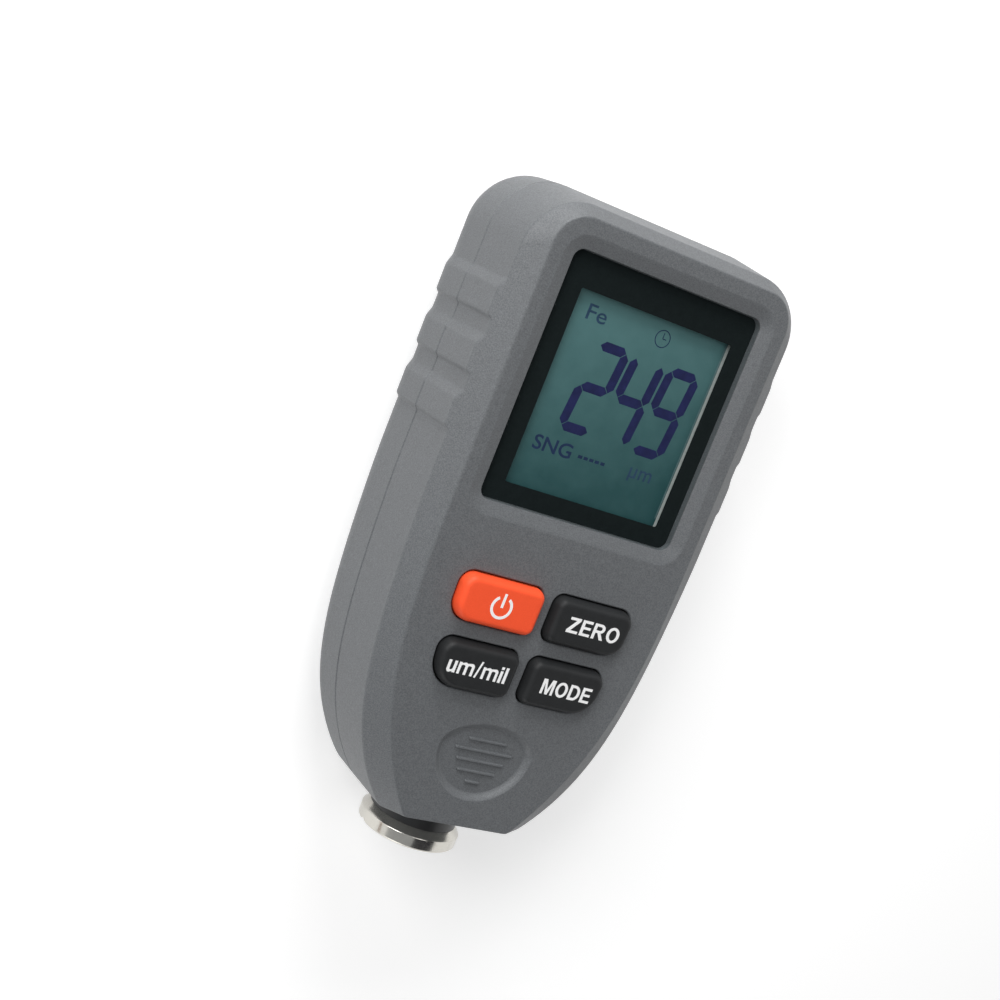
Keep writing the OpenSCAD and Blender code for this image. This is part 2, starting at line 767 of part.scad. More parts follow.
module probe_ring() {
    back = ring_out - ring_band - ring_cone;
    color("silver") at_probe() difference() {
        rotate_extrude($fn = 96) polygon([
            [neck_r, back], [ring_r, back + ring_cone], [ring_r, ring_out - edge_r],
            [ring_r - edge_r, ring_out], [ring_hole_r, ring_out], [ring_hole_r, neck_end],
            [neck_r, neck_end]]);
        translate([0, 0, ring_out]) rotate([0, 90, 0]) translate([0, 0, -2 * ring_r])
            linear_extrude(4 * ring_r) polygon([[-over, -2 * groove_depth - over],
                [-over, 2 * groove_depth + over], [groove_depth, 0]]);
    }
}

module probe_neck() {
    inner = neck_r - neck_wall;
    rear = sleeve_top - stop_gap - neck_flange_t;
    color("black") at_probe() rotate_extrude($fn = 96) polygon([
        [inner, rear], [neck_flange_r, rear], [neck_flange_r, rear + neck_flange_t],
        [neck_r, rear + neck_flange_t], [neck_r, neck_end], [inner, neck_end]]);
}

module probe_core() {
    tip = ring_out - core_sink;
    color("lightgray") at_probe() rotate_extrude($fn = 48) polygon(concat(
        [[0, tip - core_l], [core_r, tip - core_l]],
        [for (a = [0:15:90]) [core_r * cos(a), tip - core_r / 2 + core_r / 2 * sin(a)]]));
}

module probe_bobbin() {
    front = ring_out - 2 * core_sink - groove_depth;
    hole = core_r + spool_gap;
    color("black") at_probe() rotate_extrude($fn = 64) polygon([
        [hole, front - spool_l], [bobbin_r, front - spool_l],
        [bobbin_r, front - spool_l + spool_flange_t], [spool_r, front - spool_l + spool_flange_t],
        [spool_r, neck_end - spool_flange_t], [bobbin_r + neck_gap, neck_end - spool_flange_t],
        [bobbin_r + neck_gap, neck_end - spool_gap], [bobbin_r, neck_end - spool_gap],
        [bobbin_r, front],
        [hole, front]]);
}

module probe_coil() {
    front = ring_out - 2 * core_sink - groove_depth;
    low = front - spool_l + spool_flange_t + coil_gap;
    high = neck_end - spool_flange_t - coil_gap;
    color("peru") at_probe() translate([0, 0, low]) difference() {
        cylinder(r = bobbin_r - coil_gap - coil_gap, h = high - low, $fn = 64);
        translate([0, 0, -over]) cylinder(r = spool_r, h = high - low + 2 * over, $fn = 64);
    }
}

module probe_spring() {
    front = sleeve_top - stop_gap - neck_flange_t - probe_wire / 2;
    low = sleeve_top - sleeve_l + sleeve_wall + probe_wire / 2;
    color("silver") at_probe() translate([0, 0, low])
        helix(spring_r, spring_r, front - low, 5, probe_wire / 2, 8, 16);
}

module probe_sleeve() {
    color("white") at_probe() translate([0, 0, sleeve_top - sleeve_l]) difference() {
        cylinder(r = sleeve_r, h = sleeve_l, $fn = 96);
        translate([0, 0, sleeve_wall]) cylinder(r = sleeve_r - sleeve_wall, h = sleeve_l, $fn = 96);
        translate([0, 0, -over]) cylinder(r = core_r * 2, h = sleeve_wall + 2 * over, $fn = 64);
    }
}

// A cell along Y; turn is 1 with its nub to the top and -1 with its nub to the lower end
module cell(x, turn) {
    middle = bay_y + turn * (bay_l / 2 - contact_t - cell_l / 2);
    translate([x, middle, cell_z]) rotate([-90 * turn, 0, 0]) {
        translate([0, 0, -cell_l / 2]) cylinder(r = cell_d / 2, h = cell_l - nub_l, $fn = 64);
        translate([0, 0, cell_l / 2 - nub_l - slice]) cylinder(r = nub_r, h = nub_l + slice, $fn = 48);
    }
}

module contact_spring(x, turn) {
    foot = bay_y - turn * (bay_l / 2 - contact_t - contact_wire);
    translate([x, foot, cell_z]) rotate([-90 * turn, 0, 0])
        helix(contact_h / 2 - contact_wire, nub_r - contact_wire,
            contact_spring_l + cell_gap - 2 * contact_wire, 4, contact_wire, 6, 14);
}

module battery_cell_left() color("goldenrod") cell(-cell_x, 1);
module battery_cell_right() color("goldenrod") cell(cell_x, -1);
module battery_spring_left() color("silver") contact_spring(-cell_x, 1);
module battery_spring_right() color("silver") contact_spring(cell_x, -1);

module battery_contacts() {
    high = bay_y + (bay_l - contact_t) / 2;
    low = bay_y - (bay_l - contact_t) / 2;
    z0 = cell_z - contact_h / 2;
    z1 = cell_z + contact_h / 2;
    color("silver") {
        block(0, high, contact_w + 2 * cell_x, contact_t, z0, z1);
        mirrored() block(cell_x, low, contact_w, contact_t, z0, z1);
    }
}

module screw(x, y, z, head_r, head, r, l) {
    translate([x, y, z]) difference() {
        union() {
            cylinder(r = head_r, h = head, $fn = 48);
            cylinder(r = r, h = l, $fn = 32);
        }
        for (a = [0, 90]) rotate([0, 0, a])
            block(0, 0, head_r * 1.2, head_r * 0.25, -over, head / 2);
    }
}

module case_screws() {
    color("silver") mirrored() for (p = boss_places)
        screw(p[0], p[1], recess_z - head_h, screw_head_r, head_h, screw_r, screw_l);
}

module board_screws() {
    color("silver") mirrored() for (p = standoff_places)
        screw(p[0], p[1], board_z - board_screw_head_h, board_screw_head_r, board_screw_head_h,
            board_screw_r, board_screw_l);
}

front_case();
rear_case();
battery_door();
display_lens();
lcd_panel();
lcd_backlight();
lcd_frame();
zebra_strip();
main_board();
board_chips();
buzzer();
power_key();
zero_key();
unit_key();
mode_key();
power_plunger();
zero_plunger();
unit_plunger();
mode_plunger();
power_switch();
zero_switch();
unit_switch();
mode_switch();
probe_ring();
probe_neck();
probe_core();
probe_bobbin();
probe_coil();
probe_spring();
probe_sleeve();
battery_cell_left();
battery_cell_right();
battery_spring_left();
battery_spring_right();
battery_contacts();
case_screws();
board_screws();
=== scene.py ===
"""Looks of the coating thickness gauge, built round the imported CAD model.

The shells, keys and battery door are lofted again here with the small fillets, chamfers and soft
ridges that the solids leave out. The other pieces that show are copies of their CAD mesh with
eased edges, and the inner ones keep that mesh and get a material. Sizes are millimetres in the
part's frame until mesh_from() turns them into metres; camera, lamps and floor are in metres.
"""

import math

import bmesh
import bpy
import numpy as np
from mathutils import Matrix, Vector


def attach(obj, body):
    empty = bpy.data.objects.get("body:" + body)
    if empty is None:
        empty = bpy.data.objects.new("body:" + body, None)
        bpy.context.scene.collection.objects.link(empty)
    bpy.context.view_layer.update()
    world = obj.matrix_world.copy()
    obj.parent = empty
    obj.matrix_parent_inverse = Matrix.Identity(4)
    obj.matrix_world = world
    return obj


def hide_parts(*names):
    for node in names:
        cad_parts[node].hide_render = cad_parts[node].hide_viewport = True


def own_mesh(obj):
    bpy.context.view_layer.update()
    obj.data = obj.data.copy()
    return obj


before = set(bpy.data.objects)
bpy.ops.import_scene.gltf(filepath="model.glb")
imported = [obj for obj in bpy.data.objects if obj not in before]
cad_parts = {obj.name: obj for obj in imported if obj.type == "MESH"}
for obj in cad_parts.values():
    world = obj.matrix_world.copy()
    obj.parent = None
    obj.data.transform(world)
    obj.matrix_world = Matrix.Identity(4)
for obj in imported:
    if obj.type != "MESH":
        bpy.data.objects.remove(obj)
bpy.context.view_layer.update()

MM = 0.001


def placed(name, data):
    """A new object, linked into the scene."""
    obj = bpy.data.objects.new(name, data)
    bpy.context.scene.collection.objects.link(obj)
    return obj


# ------------------------------------------------------------------ camera
CAMERA_AT = (-0.1480, 0.04557, 0.2485)
CAMERA_RIGHT = (0.82464789, 0.36696475, 0.430456)
CAMERA_UP = (-0.2473881, 0.91833978, -0.308952)
CAMERA_BACK = (-0.50867965, 0.1482866, 0.848090)
CAMERA_LENS = 58.87

camera_data = bpy.data.cameras.new("photo_camera")
camera_data.lens = CAMERA_LENS
camera_data.sensor_width = 36
camera_data.clip_start = 0.01
camera = placed("photo_camera", camera_data)
turn = Matrix((CAMERA_RIGHT, CAMERA_UP, CAMERA_BACK)).transposed()
camera.matrix_world = Matrix.Translation(CAMERA_AT) @ turn.to_4x4()
bpy.context.scene.camera = camera
bpy.context.scene.view_settings.view_transform = "Standard"

# ------------------------------------------------------------------ sizes of the CAD source
TOP_Y, END_Y = 55.4, -48.7
CASE_W, DRAFT, HEAD_DRAFT = 55.2, 0.4, 1.5
SEAM_Z, RIM_Z, FACE_Z = 13.6, 25.3, 28.1
CEILING_Z = 26.1
CORNER_R, FACE_CORNER_R = 10.0, 5.6
BEVEL_W, HEAD_BEVEL = 3.6, 1.9
WALL, BACK_WALL, BACK_R = 2.0, 2.4, 7.0
TAPER_Y = TOP_Y - 0.463 * (TOP_Y - END_Y)
TAPER_L = TAPER_Y - END_Y
RIM_TAPER = (0.135, 1.5, 0.36, 5)
FACE_TAPER = (0, 1, 0.575, 3.2)

BOSSES = ((22.2, 49.2), (15.2, -33.2))
LENS_Y, LENS_Z, LENS_UNDER = 27.5, 27.3, 26.1
LENS_W, LENS_L, LENS_R, LENS_GAP = 38.5, 42.0, 1.8, 0.1
DISH_W = 2.4
PANEL_TOP = 24.8
WINDOW = (34.4, 36.0)
WINDOW_Y = LENS_Y - 0.96

RIDGE_FIRST, RIDGE_PITCH, RIDGE_N = 10.8, 9.2, 3
RIDGE_L, RIDGE_RAMP, RIDGE_STEP = 4.5, 1.7, 0.5
RIDGE_OUT, RIDGE_RIM_OUT = 0.6, 0.7
RIDGE_SOFT = 0.22  # half the length over which a ridge's ends are softened

KEY_Y = (-9.35, -20.70)
KEY_X = (9.2, 8.9)
KEY_W = (16.4, 15.8)
KEY_L = 8.7
KEY_TOP = 30.1

THUMB_Y, THUMB_W, THUMB_UP, THUMB_DOWN = -34.9, 19.0, 5.3, 9.2
THUMB_DEPTH, THUMB_SLOPE = 0.9, 1.5

# ------------------------------------------------------------------ mesh helpers


def mesh_from(name, verts, faces):
    """A mesh object in metres from millimetre points."""
    mesh = bpy.data.meshes.new(name)
    mesh.from_pydata([tuple(MM * c for c in v) for v in verts], [], faces)
    mesh.validate()
    return placed(name, mesh)


def quads_between(n, count, closed=False):
    """Faces between rings of n points each; closed ones also join the last ring to the first."""
    return [
        (i * n + j, i * n + (j + 1) % n, (i + 1) % count * n + (j + 1) % n, (i + 1) % count * n + j)
        for i in range(count if closed else count - 1)
        for j in range(n)
    ]


def loft(name, rings):
    """A closed solid from rings of equally many points.

    The rings run counter-clockwise seen from above, and each one lies over the one before.
    """
    n = len(rings[0])
    verts = [tuple(p) for ring in rings for p in ring]
    faces = quads_between(n, len(rings))
    faces.append(tuple(range(n - 1, -1, -1)))
    faces.append(tuple((len(rings) - 1) * n + j for j in range(n)))
    return mesh_from(name, verts, faces)


def at_z(outline, z):
    """An outline of (x, y) points as a ring at one height."""
    outline = np.asarray(outline, float)
    return np.c_[outline, np.full(len(outline), z)]


def unit_rows(v):
    """Rows of a matrix at length one."""
    return v / np.maximum(np.linalg.norm(v, axis=1, keepdims=True), 1e-9)


def rounded_rings(rings, reaches, steps=5):
    """Rings with each inner one replaced by a curve that starts and ends at its reach."""
    out = [rings[0]]
    for before, corner, after, reach in zip(rings, rings[1:], rings[2:], reaches):
        if reach == 0:
            out.append(corner)
            continue
        a = corner + unit_rows(before - corner) * reach
        b = corner + unit_rows(after - corner) * reach
        for t in np.linspace(0, 1, steps):
            out.append((1 - t) ** 2 * a + 2 * t * (1 - t) * corner + t * t * b)
    out.append(rings[-1])
    return out


def fillet_2d(points, radii, steps=8):
    """A polygon's points with each corner rounded to its radius."""
    out = []
    count = len(points)
    for i, (point, radius) in enumerate(zip(points, radii)):
        p = np.array(point, float)
        u = np.array(points[i - 1], float) - p
        v = np.array(points[(i + 1) % count], float) - p
        u, v = u / np.linalg.norm(u), v / np.linalg.norm(v)
        half = math.acos(np.clip(u @ v, -1, 1)) / 2
        centre = p + (u + v) / np.linalg.norm(u + v) * radius / math.sin(half)
        start = p + u * radius / math.tan(half) - centre
        end = p + v * radius / math.tan(half) - centre
        a = math.atan2(start[1], start[0])
        sweep = (math.atan2(end[1], end[0]) - a + 3 * math.pi) % (2 * math.pi) - math.pi
        for k in range(steps + 1):
            angle = a + sweep * k / steps
            out.append(centre + radius * np.array([math.cos(angle), math.sin(angle)]))
    return np.array(out)


def box_2d(w, l, r, centre=(0, 0), steps=8):
    """A rounded rectangle, counter-clockwise."""
    x, y = w / 2, l / 2
    ring = fillet_2d([(x, y), (-x, y), (-x, -y), (x, -y)], [r] * 4, steps)
    return ring + np.array(centre)


def disc_2d(r, centre=(0, 0), steps=64):
    """A circle, counter-clockwise."""
    a = np.linspace(0, 2 * math.pi, steps, endpoint=False)
    return np.c_[centre[0] + r * np.cos(a), centre[1] + r * np.sin(a)]


def evaluate(obj):
    """Applies an object's modifiers."""
    graph = bpy.context.evaluated_depsgraph_get()
    mesh = bpy.data.meshes.new_from_object(obj.evaluated_get(graph))
    obj.modifiers.clear()
    old = obj.data
    obj.data = mesh
    bpy.data.meshes.remove(old)


def cut(target, tool, operation="DIFFERENCE"):
    """A boolean with a tool that is then deleted."""
    modifier = target.modifiers.new("cut", "BOOLEAN")
    modifier.operation = operation
    modifier.object = tool
    modifier.solver = "MANIFOLD"
    evaluate(target)
    bpy.data.objects.remove(tool)
    return target


def add(target, tool):
    """Joins a tool to a target."""
    return cut(target, tool, "UNION")


def weld(obj, distance=2e-6):
    """Adds a modifier that joins points closer than a distance in metres."""
    obj.modifiers.new("weld", "WELD").merge_threshold = distance


SHARP = math.radians(32)  # edges that turn by more stay sharp


def finish_piece(obj, body, material, nodes=(), welded=False):
    """Smooths a piece by angle, gives it its material, ties it to its body and hides the CAD nodes
    it stands in for.
    """
    if not welded:
        weld(obj)
        evaluate(obj)
    mesh = obj.data
    mesh.shade_smooth()
    mesh.set_sharp_from_angle(angle=SHARP)
    modifier = obj.modifiers.new("normals", "WEIGHTED_NORMAL")
    modifier.keep_sharp = True
    modifier.weight = 60
    mesh.materials.clear()
    mesh.materials.append(material)
    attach(obj, body)
    if nodes:
        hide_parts(*nodes)
    return obj


# ------------------------------------------------------------------ outlines of the case


def ridge_height(y):
    """Share of a grip ridge's full height along the case."""
    total = np.zeros_like(y)
    samples = np.linspace(-RIDGE_SOFT, RIDGE_SOFT, 9)
    for shift in samples:
        for i in range(RIDGE_N):
            top = LENS_Y + RIDGE_FIRST - i * RIDGE_PITCH
            knots = [top - RIDGE_L - RIDGE_STEP, top - RIDGE_L, top, top + RIDGE_RAMP]
            total += np.interp(y + shift, knots, [0, 1, 1, 0])
    return total / len(samples)


# Where the outline's points lie along the straight side, close together over the ridges
SIDE_YS = np.concatenate(
    [
        np.linspace(TOP_Y - CORNER_R, 41.3, 4)[1:],
        np.arange(41.1, 14.1, -0.2),
        np.linspace(13.8, TAPER_Y, 4)[:-1],
    ]
)
ARC_N, TAPER_N, END_R = 18, 40, 0.7


def case_outline(half, top, r, shares, inset=0.0, ridge=0.0):
    """The case's outline at one height, counter-clockwise.

    half is half the width, top the upper end, r the radius of the upper corners, shares how the
    sides draw in towards the lower end, and ridge how far the grip ridges stand out.
    """
    a0, p0, a1, p1 = shares

    def draw(t):
        return half * (1 - a0 * t**p0 - a1 * t**p1)

    def slope(t):
        t = max(t, 1e-6)
        return half * (a0 * p0 * t ** (p0 - 1) + a1 * p1 * t ** (p1 - 1)) / TAPER_L

    right = []
    for i in range(ARC_N + 1):
        a = math.pi / 2 * (1 - i / ARC_N)
        right.append(
            (half - r + (r - inset) * math.cos(a), top - r + (r - inset) * math.sin(a))
        )
    out = ridge * ridge_height(SIDE_YS)
    right += [(half - inset + o, y) for o, y in zip(out, SIDE_YS)]
    last = (TAPER_L - inset) / TAPER_L
    for i in range(TAPER_N + 1):
        t = i / TAPER_N * last
        right.append((draw(t) - inset * math.sqrt(1 + slope(t) ** 2), TAPER_Y - t * TAPER_L))
    corner, before = np.array(right[-1]), np.array(right[-2])
    a = corner + (before - corner) / np.linalg.norm(before - corner) * END_R
    b = corner + np.array([-END_R, 0])
    right = right[:-1]
    for t in np.linspace(0, 1, 5):
        right.append(tuple((1 - t) ** 2 * a + 2 * t * (1 - t) * corner + t * t * b))
    right = np.array(right)
    left = right[::-1] * np.array([-1, 1])
    return np.concatenate([left, right])[::-1]


def seam_outline(inset=0.0, ridge=0.0):
    """The case at the parting line, where it is widest."""
    return case_outline(
        CASE_W / 2 + DRAFT, TOP_Y + HEAD_DRAFT, CORNER_R + DRAFT, RIM_TAPER, inset, ridge
    )


def rim_outline(inset=0.0, ridge=0.0):
    """The case where the wall meets the bevel."""
    return case_outline(CASE_W / 2, TOP_Y, CORNER_R, RIM_TAPER, inset, ridge)


def face_outline(inset=0.0):
    """The case where the bevel meets the face."""
    return case_outline(
        CASE_W / 2 - BEVEL_W, TOP_Y - HEAD_BEVEL, FACE_CORNER_R, FACE_TAPER, inset
    )


KEY_SLANT = (0.3, 0.9)
KEY_LOW_R = (3.6, 5.0)
KEY_INNER_R, KEY_UPPER_R = 2, 2.5


def key_outline(row, inset, side=1):
    """A key's outline in the upper (0) or lower (1) row, left (-1) or right (1)."""
    w, l = KEY_W[row] / 2 - inset, KEY_L / 2 - inset
    radii = (KEY_INNER_R, KEY_INNER_R, KEY_LOW_R[row], KEY_UPPER_R)
    ring = fillet_2d(
        [(-w, l), (-w, -l), (w - KEY_SLANT[row], -l), (w, l)], [r - inset for r in radii], 10
    )
    ring[:, 0] *= side
    if side < 0:
        ring = ring[::-1]
    return ring + np.array([side * KEY_X[row], KEY_Y[row]])


def egg(inset):
    """The outline of the thumb dish."""
    a = np.radians(np.arange(0, 360, 3.0))
    reach = np.where(np.sin(a) > 0, THUMB_UP - inset, THUMB_DOWN - inset)
    return np.c_[(THUMB_W / 2 - inset) * np.cos(a), THUMB_Y + reach * np.sin(a)]


def face_outwards(obj):
    """Turns a closed mesh's faces outwards."""
    bm = bmesh.new()
    bm.from_mesh(obj.data)
    bmesh.ops.recalc_face_normals(bm, faces=bm.faces)
    bm.to_mesh(obj.data)
    bm.free()
    return obj


def lathe(name, profile, steps=96):
    """Turns (radius, distance out of the lower end) points about the probe's axis."""
    verts = [
        (r * math.cos(a), END_Y - s, SEAM_Z + r * math.sin(a))
        for a in np.radians(360.0 * np.arange(steps) / steps)
        for r, s in profile
    ]
    return face_outwards(mesh_from(name, verts, quads_between(len(profile), steps, True)))


def slab(name, outline, z0, z1):
    """A flat piece between two heights."""
    return loft(name, [at_z(outline, z0), at_z(outline, z1)])


# ------------------------------------------------------------------ materials


def shader(name):
    """A new material with its node tree and its Principled shader."""
    material = bpy.data.materials.new(name)
    material.use_nodes = True
    tree = material.node_tree
    return material, tree, tree.nodes["Principled BSDF"]


def bare_shader(name):
    """A new material with its node tree and the surface input of its otherwise empty output."""
    material, tree, _ = shader(name)
    tree.nodes.clear()
    return material, tree, tree.nodes.new("ShaderNodeOutputMaterial").inputs["Surface"]


def node(tree, kind, **inputs):
    """A new node with values on its inputs."""
    made = tree.nodes.new(kind)
    for key, value in inputs.items():
        made.inputs[key.replace("_", " ")].default_value = value
    return made


def maths(tree, operation, a, b, clamp=False):
    """Two values joined by a Math node."""
    made = tree.nodes.new("ShaderNodeMath")
    made.operation = operation
    made.use_clamp = clamp
    tree.links.new(a, made.inputs[0])
    tree.links.new(b, made.inputs[1])
    return made.outputs[0]


def coordinates(tree):
    """Where a point lies in its piece, in metres."""
    return tree.nodes.new("ShaderNodeTexCoord").outputs["Object"]


def noise(tree, scale, detail=2.0, roughness=0.5):
    """Cloudy values about one half; a larger scale is finer."""
    made = node(tree, "ShaderNodeTexNoise", Scale=scale, Detail=detail, Roughness=roughness)
    tree.links.new(coordinates(tree), made.inputs["Vector"])
    return made.outputs["Fac"]


def spread(tree, value, low, high, source=(0.3, 0.7)):
    """A value that runs from low to high while the given one runs through source."""
    made = tree.nodes.new("ShaderNodeMapRange")
    made.inputs["From Min"].default_value, made.inputs["From Max"].default_value = source
    made.inputs["To Min"].default_value, made.inputs["To Max"].default_value = low, high
    tree.links.new(value, made.inputs["Value"])
    return made.outputs["Result"]


def tint(tree, factor, dark, light):
    """A colour between two others."""
    made = tree.nodes.new("ShaderNodeMix")
    made.data_type = "RGBA"
    made.inputs["A"].default_value = (*dark, 1)
    made.inputs["B"].default_value = (*light, 1)
    tree.links.new(factor, made.inputs["Factor"])
    return made.outputs["Result"]


def bump(tree, height, distance, strength=1.0, below=None):
    """A normal for a height in metres, on top of the normal below."""
    made = node(tree, "ShaderNodeBump", Strength=strength, Distance=distance)
    tree.links.new(height, made.inputs["Height"])
    if below is not None:
        tree.links.new(below, made.inputs["Normal"])
    return made.outputs["Normal"]


DRIFT_SCALE, GLOSS_SCALE = 700, 2200
GLOSS_SPREAD = 0.05


def grained(name, colour, rough, grain, depth, variation=0.06, shine=0.5, speckle=0.05):
    """A moulded, printed or rubber surface: fine grain, faint colour drift and uneven gloss.

    grain is the fineness of the grain and depth its height in metres, variation and speckle are
    shares of the colour, and shine is the specular level.
    """
    material, tree, principled = shader(name)
    spread_by = variation + speckle
    low = tuple(c * (1 - spread_by) for c in colour)
    high = tuple(min(1, c * (1 + spread_by)) for c in colour)
    drift = spread(tree, noise(tree, DRIFT_SCALE, 3), 0, variation / spread_by)
    specks = spread(tree, noise(tree, grain * 1.4, 1), 0, speckle / spread_by)
    total = maths(tree, "ADD", drift, specks)
    tree.links.new(tint(tree, total, low, high), principled.inputs["Base Color"])
    uneven = noise(tree, GLOSS_SCALE, 3)
    gloss = spread(tree, uneven, rough - GLOSS_SPREAD, rough + GLOSS_SPREAD)
    tree.links.new(gloss, principled.inputs["Roughness"])
    coarse = bump(tree, noise(tree, grain / 3, 2), depth * 1.6, 0.6)
    fine = bump(tree, noise(tree, grain, 2), depth, 1.0, coarse)
    tree.links.new(fine, principled.inputs["Normal"])
    principled.inputs["Specular IOR Level"].default_value = shine
    return material


case_mat = grained(
    "case_grey", (0.122, 0.129, 0.136), 0.47, 3800, 3e-5, variation=0.02, shine=0.45, speckle=0.22
)
red_mat = grained("key_red", (1.0, 0.098, 0.030), 0.5, 6000, 3e-6, variation=0.02, shine=0.25)
black_mat = grained(
    "key_black", (0.016, 0.017, 0.018), 0.52, 6000, 4e-6, variation=0.08, shine=0.22
)
white_mat = grained("white_plastic", (0.66, 0.67, 0.65), 0.45, 3000, 3e-6)
ink_mat = grained("white_ink", (0.97, 0.97, 0.97), 0.5, 9000, 1e-6, variation=0.02)
neck_mat = grained("neck_black", (0.018, 0.019, 0.02), 0.38, 3000, 3e-6)
rubber_mat = grained("zebra_rubber", (0.03, 0.03, 0.034), 0.7, 2000, 8e-6)
board_mat = grained("board_green", (0.015, 0.12, 0.045), 0.35, 1200, 6e-6, variation=0.2)
border_mat = grained("lens_border_black", (0.0125, 0.0165, 0.017), 0.6, 2000, 4e-7, shine=0.0)


def metal(name, colour, rough, lines=0.0):
    """Plated metal, or turned metal with fine lathe lines round the probe's axis."""
    material, tree, principled = shader(name)
    principled.inputs["Metallic"].default_value = 1.0
    smudge = spread(tree, noise(tree, 300, 4), 0, 1)
    tree.links.new(
        tint(tree, smudge, tuple(0.94 * c for c in colour), colour),
        principled.inputs["Base Color"],
    )
    gloss = spread(tree, noise(tree, 700, 3), rough * 0.8, rough * 1.3)
    tree.links.new(gloss, principled.inputs["Roughness"])
    if lines:
        wave = node(tree, "ShaderNodeTexWave", Scale=lines, Distortion=0.6, Detail=2.0)
        wave.bands_direction = "Y"
        tree.links.new(coordinates(tree), wave.inputs["Vector"])
        tree.links.new(bump(tree, wave.outputs["Fac"], 1.2e-6, 0.7), principled.inputs["Normal"])
    else:
        tree.links.new(bump(tree, noise(tree, 2500, 2), 1e-6, 0.6), principled.inputs["Normal"])
    return material


ring_mat = metal("ring_chrome", (0.64, 0.62, 0.57), 0.18, lines=1600)
steel_mat = metal("steel", (0.60, 0.60, 0.61), 0.3)
copper_mat = metal("copper_winding", (0.75, 0.34, 0.15), 0.34, lines=900)


PANEL_PAINTED_LIGHT_WAY = (-0.3, 1, 0)  # the way in which the panel's painted light grows; painted shade darkens it the other way


def panel_material():
    """The liquid crystal panel: blue green, with painted shade that darkens it towards its lower
    right.
    """
    material, tree, principled = shader("lcd_glass")
    along = tree.nodes.new("ShaderNodeVectorMath")
    along.operation = "DOT_PRODUCT"
    tree.links.new(coordinates(tree), along.inputs[0])
    along.inputs[1].default_value = PANEL_PAINTED_LIGHT_WAY
    low_y, high_y = MM * (LENS_Y - 17), MM * (LENS_Y + 16)
    # Painted shade: the colour runs darker towards the panel's lower right.
    painted_shade = spread(tree, along.outputs["Value"], 0.0, 1.0, (low_y, high_y))
    mottled = spread(tree, noise(tree, 260, 4, 0.6), -0.1, 0.1)
    total = maths(tree, "ADD", painted_shade, mottled, clamp=True)
    tree.links.new(
        tint(tree, total, (0.030, 0.092, 0.097), (0.108, 0.224, 0.228)),
        principled.inputs["Base Color"],
    )
    gloss = spread(tree, noise(tree, 500, 3), 0.34, 0.44)
    tree.links.new(gloss, principled.inputs["Roughness"])
    principled.inputs["Specular IOR Level"].default_value = 0.3
    return material


def digit_material(name, colour):
    """A segment, symbol or painted highlight of the display, slightly uneven."""
    material, tree, principled = shader(name)
    patchy = spread(tree, noise(tree, 700, 3), 0, 1)
    tree.links.new(
        tint(tree, patchy, tuple(c * 0.85 for c in colour), tuple(c * 1.2 for c in colour)),
        principled.inputs["Base Color"],
    )
    principled.inputs["Roughness"].default_value = 0.5
    principled.inputs["Specular IOR Level"].default_value = 0.2
    return material


def clear_material():
    """Clear acrylic that lets the display show and mirrors a little of the room."""
    material, tree, surface = bare_shader("lens_clear")
    through = node(tree, "ShaderNodeBsdfTransparent")
    through.inputs["Color"].default_value = (0.93, 0.95, 0.95, 1)
    mirror = node(tree, "ShaderNodeBsdfGlossy", Roughness=0.02)
    mirror.inputs["Color"].default_value = (0.4, 0.4, 0.4, 1)
    fresnel = node(tree, "ShaderNodeFresnel", IOR=1.2)
    ripple = bump(tree, noise(tree, 90, 1), 2e-6, 0.3)
    tree.links.new(ripple, mirror.inputs["Normal"])
    # Only the outer side mirrors; the inner one would hide the display at flat angles.
    inner = tree.nodes.new("ShaderNodeNewGeometry").outputs["Backfacing"]
    share = maths(tree, "MULTIPLY", fresnel.outputs[0], spread(tree, inner, 1, 0, (0, 1)))
    mix = tree.nodes.new("ShaderNodeMixShader")
    tree.links.new(share, mix.inputs["Fac"])
    tree.links.new(through.outputs[0], mix.inputs[1])
    tree.links.new(mirror.outputs[0], mix.inputs[2])
    tree.links.new(mix.outputs[0], surface)
    return material


def wrap_material():
    """A battery's plain printed wrap, faintly creased."""
    material, tree, principled = shader("cell_wrap")
    principled.inputs["Metallic"].default_value = 0.6
    gloss = spread(tree, noise(tree, 500, 3), 0.25, 0.38)
    tree.links.new(gloss, principled.inputs["Roughness"])
    wear = spread(tree, noise(tree, 200, 3), 0, 1)
    tree.links.new(
        tint(tree, wear, (0.58, 0.39, 0.09), (0.65, 0.45, 0.10)), principled.inputs["Base Color"]
    )
    tree.links.new(bump(tree, noise(tree, 1500, 2), 1e-6), principled.inputs["Normal"])
    return material


panel_mat = panel_material()
segment_mat = digit_material("lcd_segment", (0.018, 0.020, 0.085))
symbol_mat = digit_material("lcd_symbol", (0.019, 0.034, 0.088))
faint_mat = digit_material("lcd_faint", (0.034, 0.068, 0.125))
# A painted highlight colour: the glint of the display glass's edge.
edge_glint_mat = digit_material("lcd_edge_glint", (0.16, 0.24, 0.25))
lens_mat = clear_material()
wrap_mat = wrap_material()

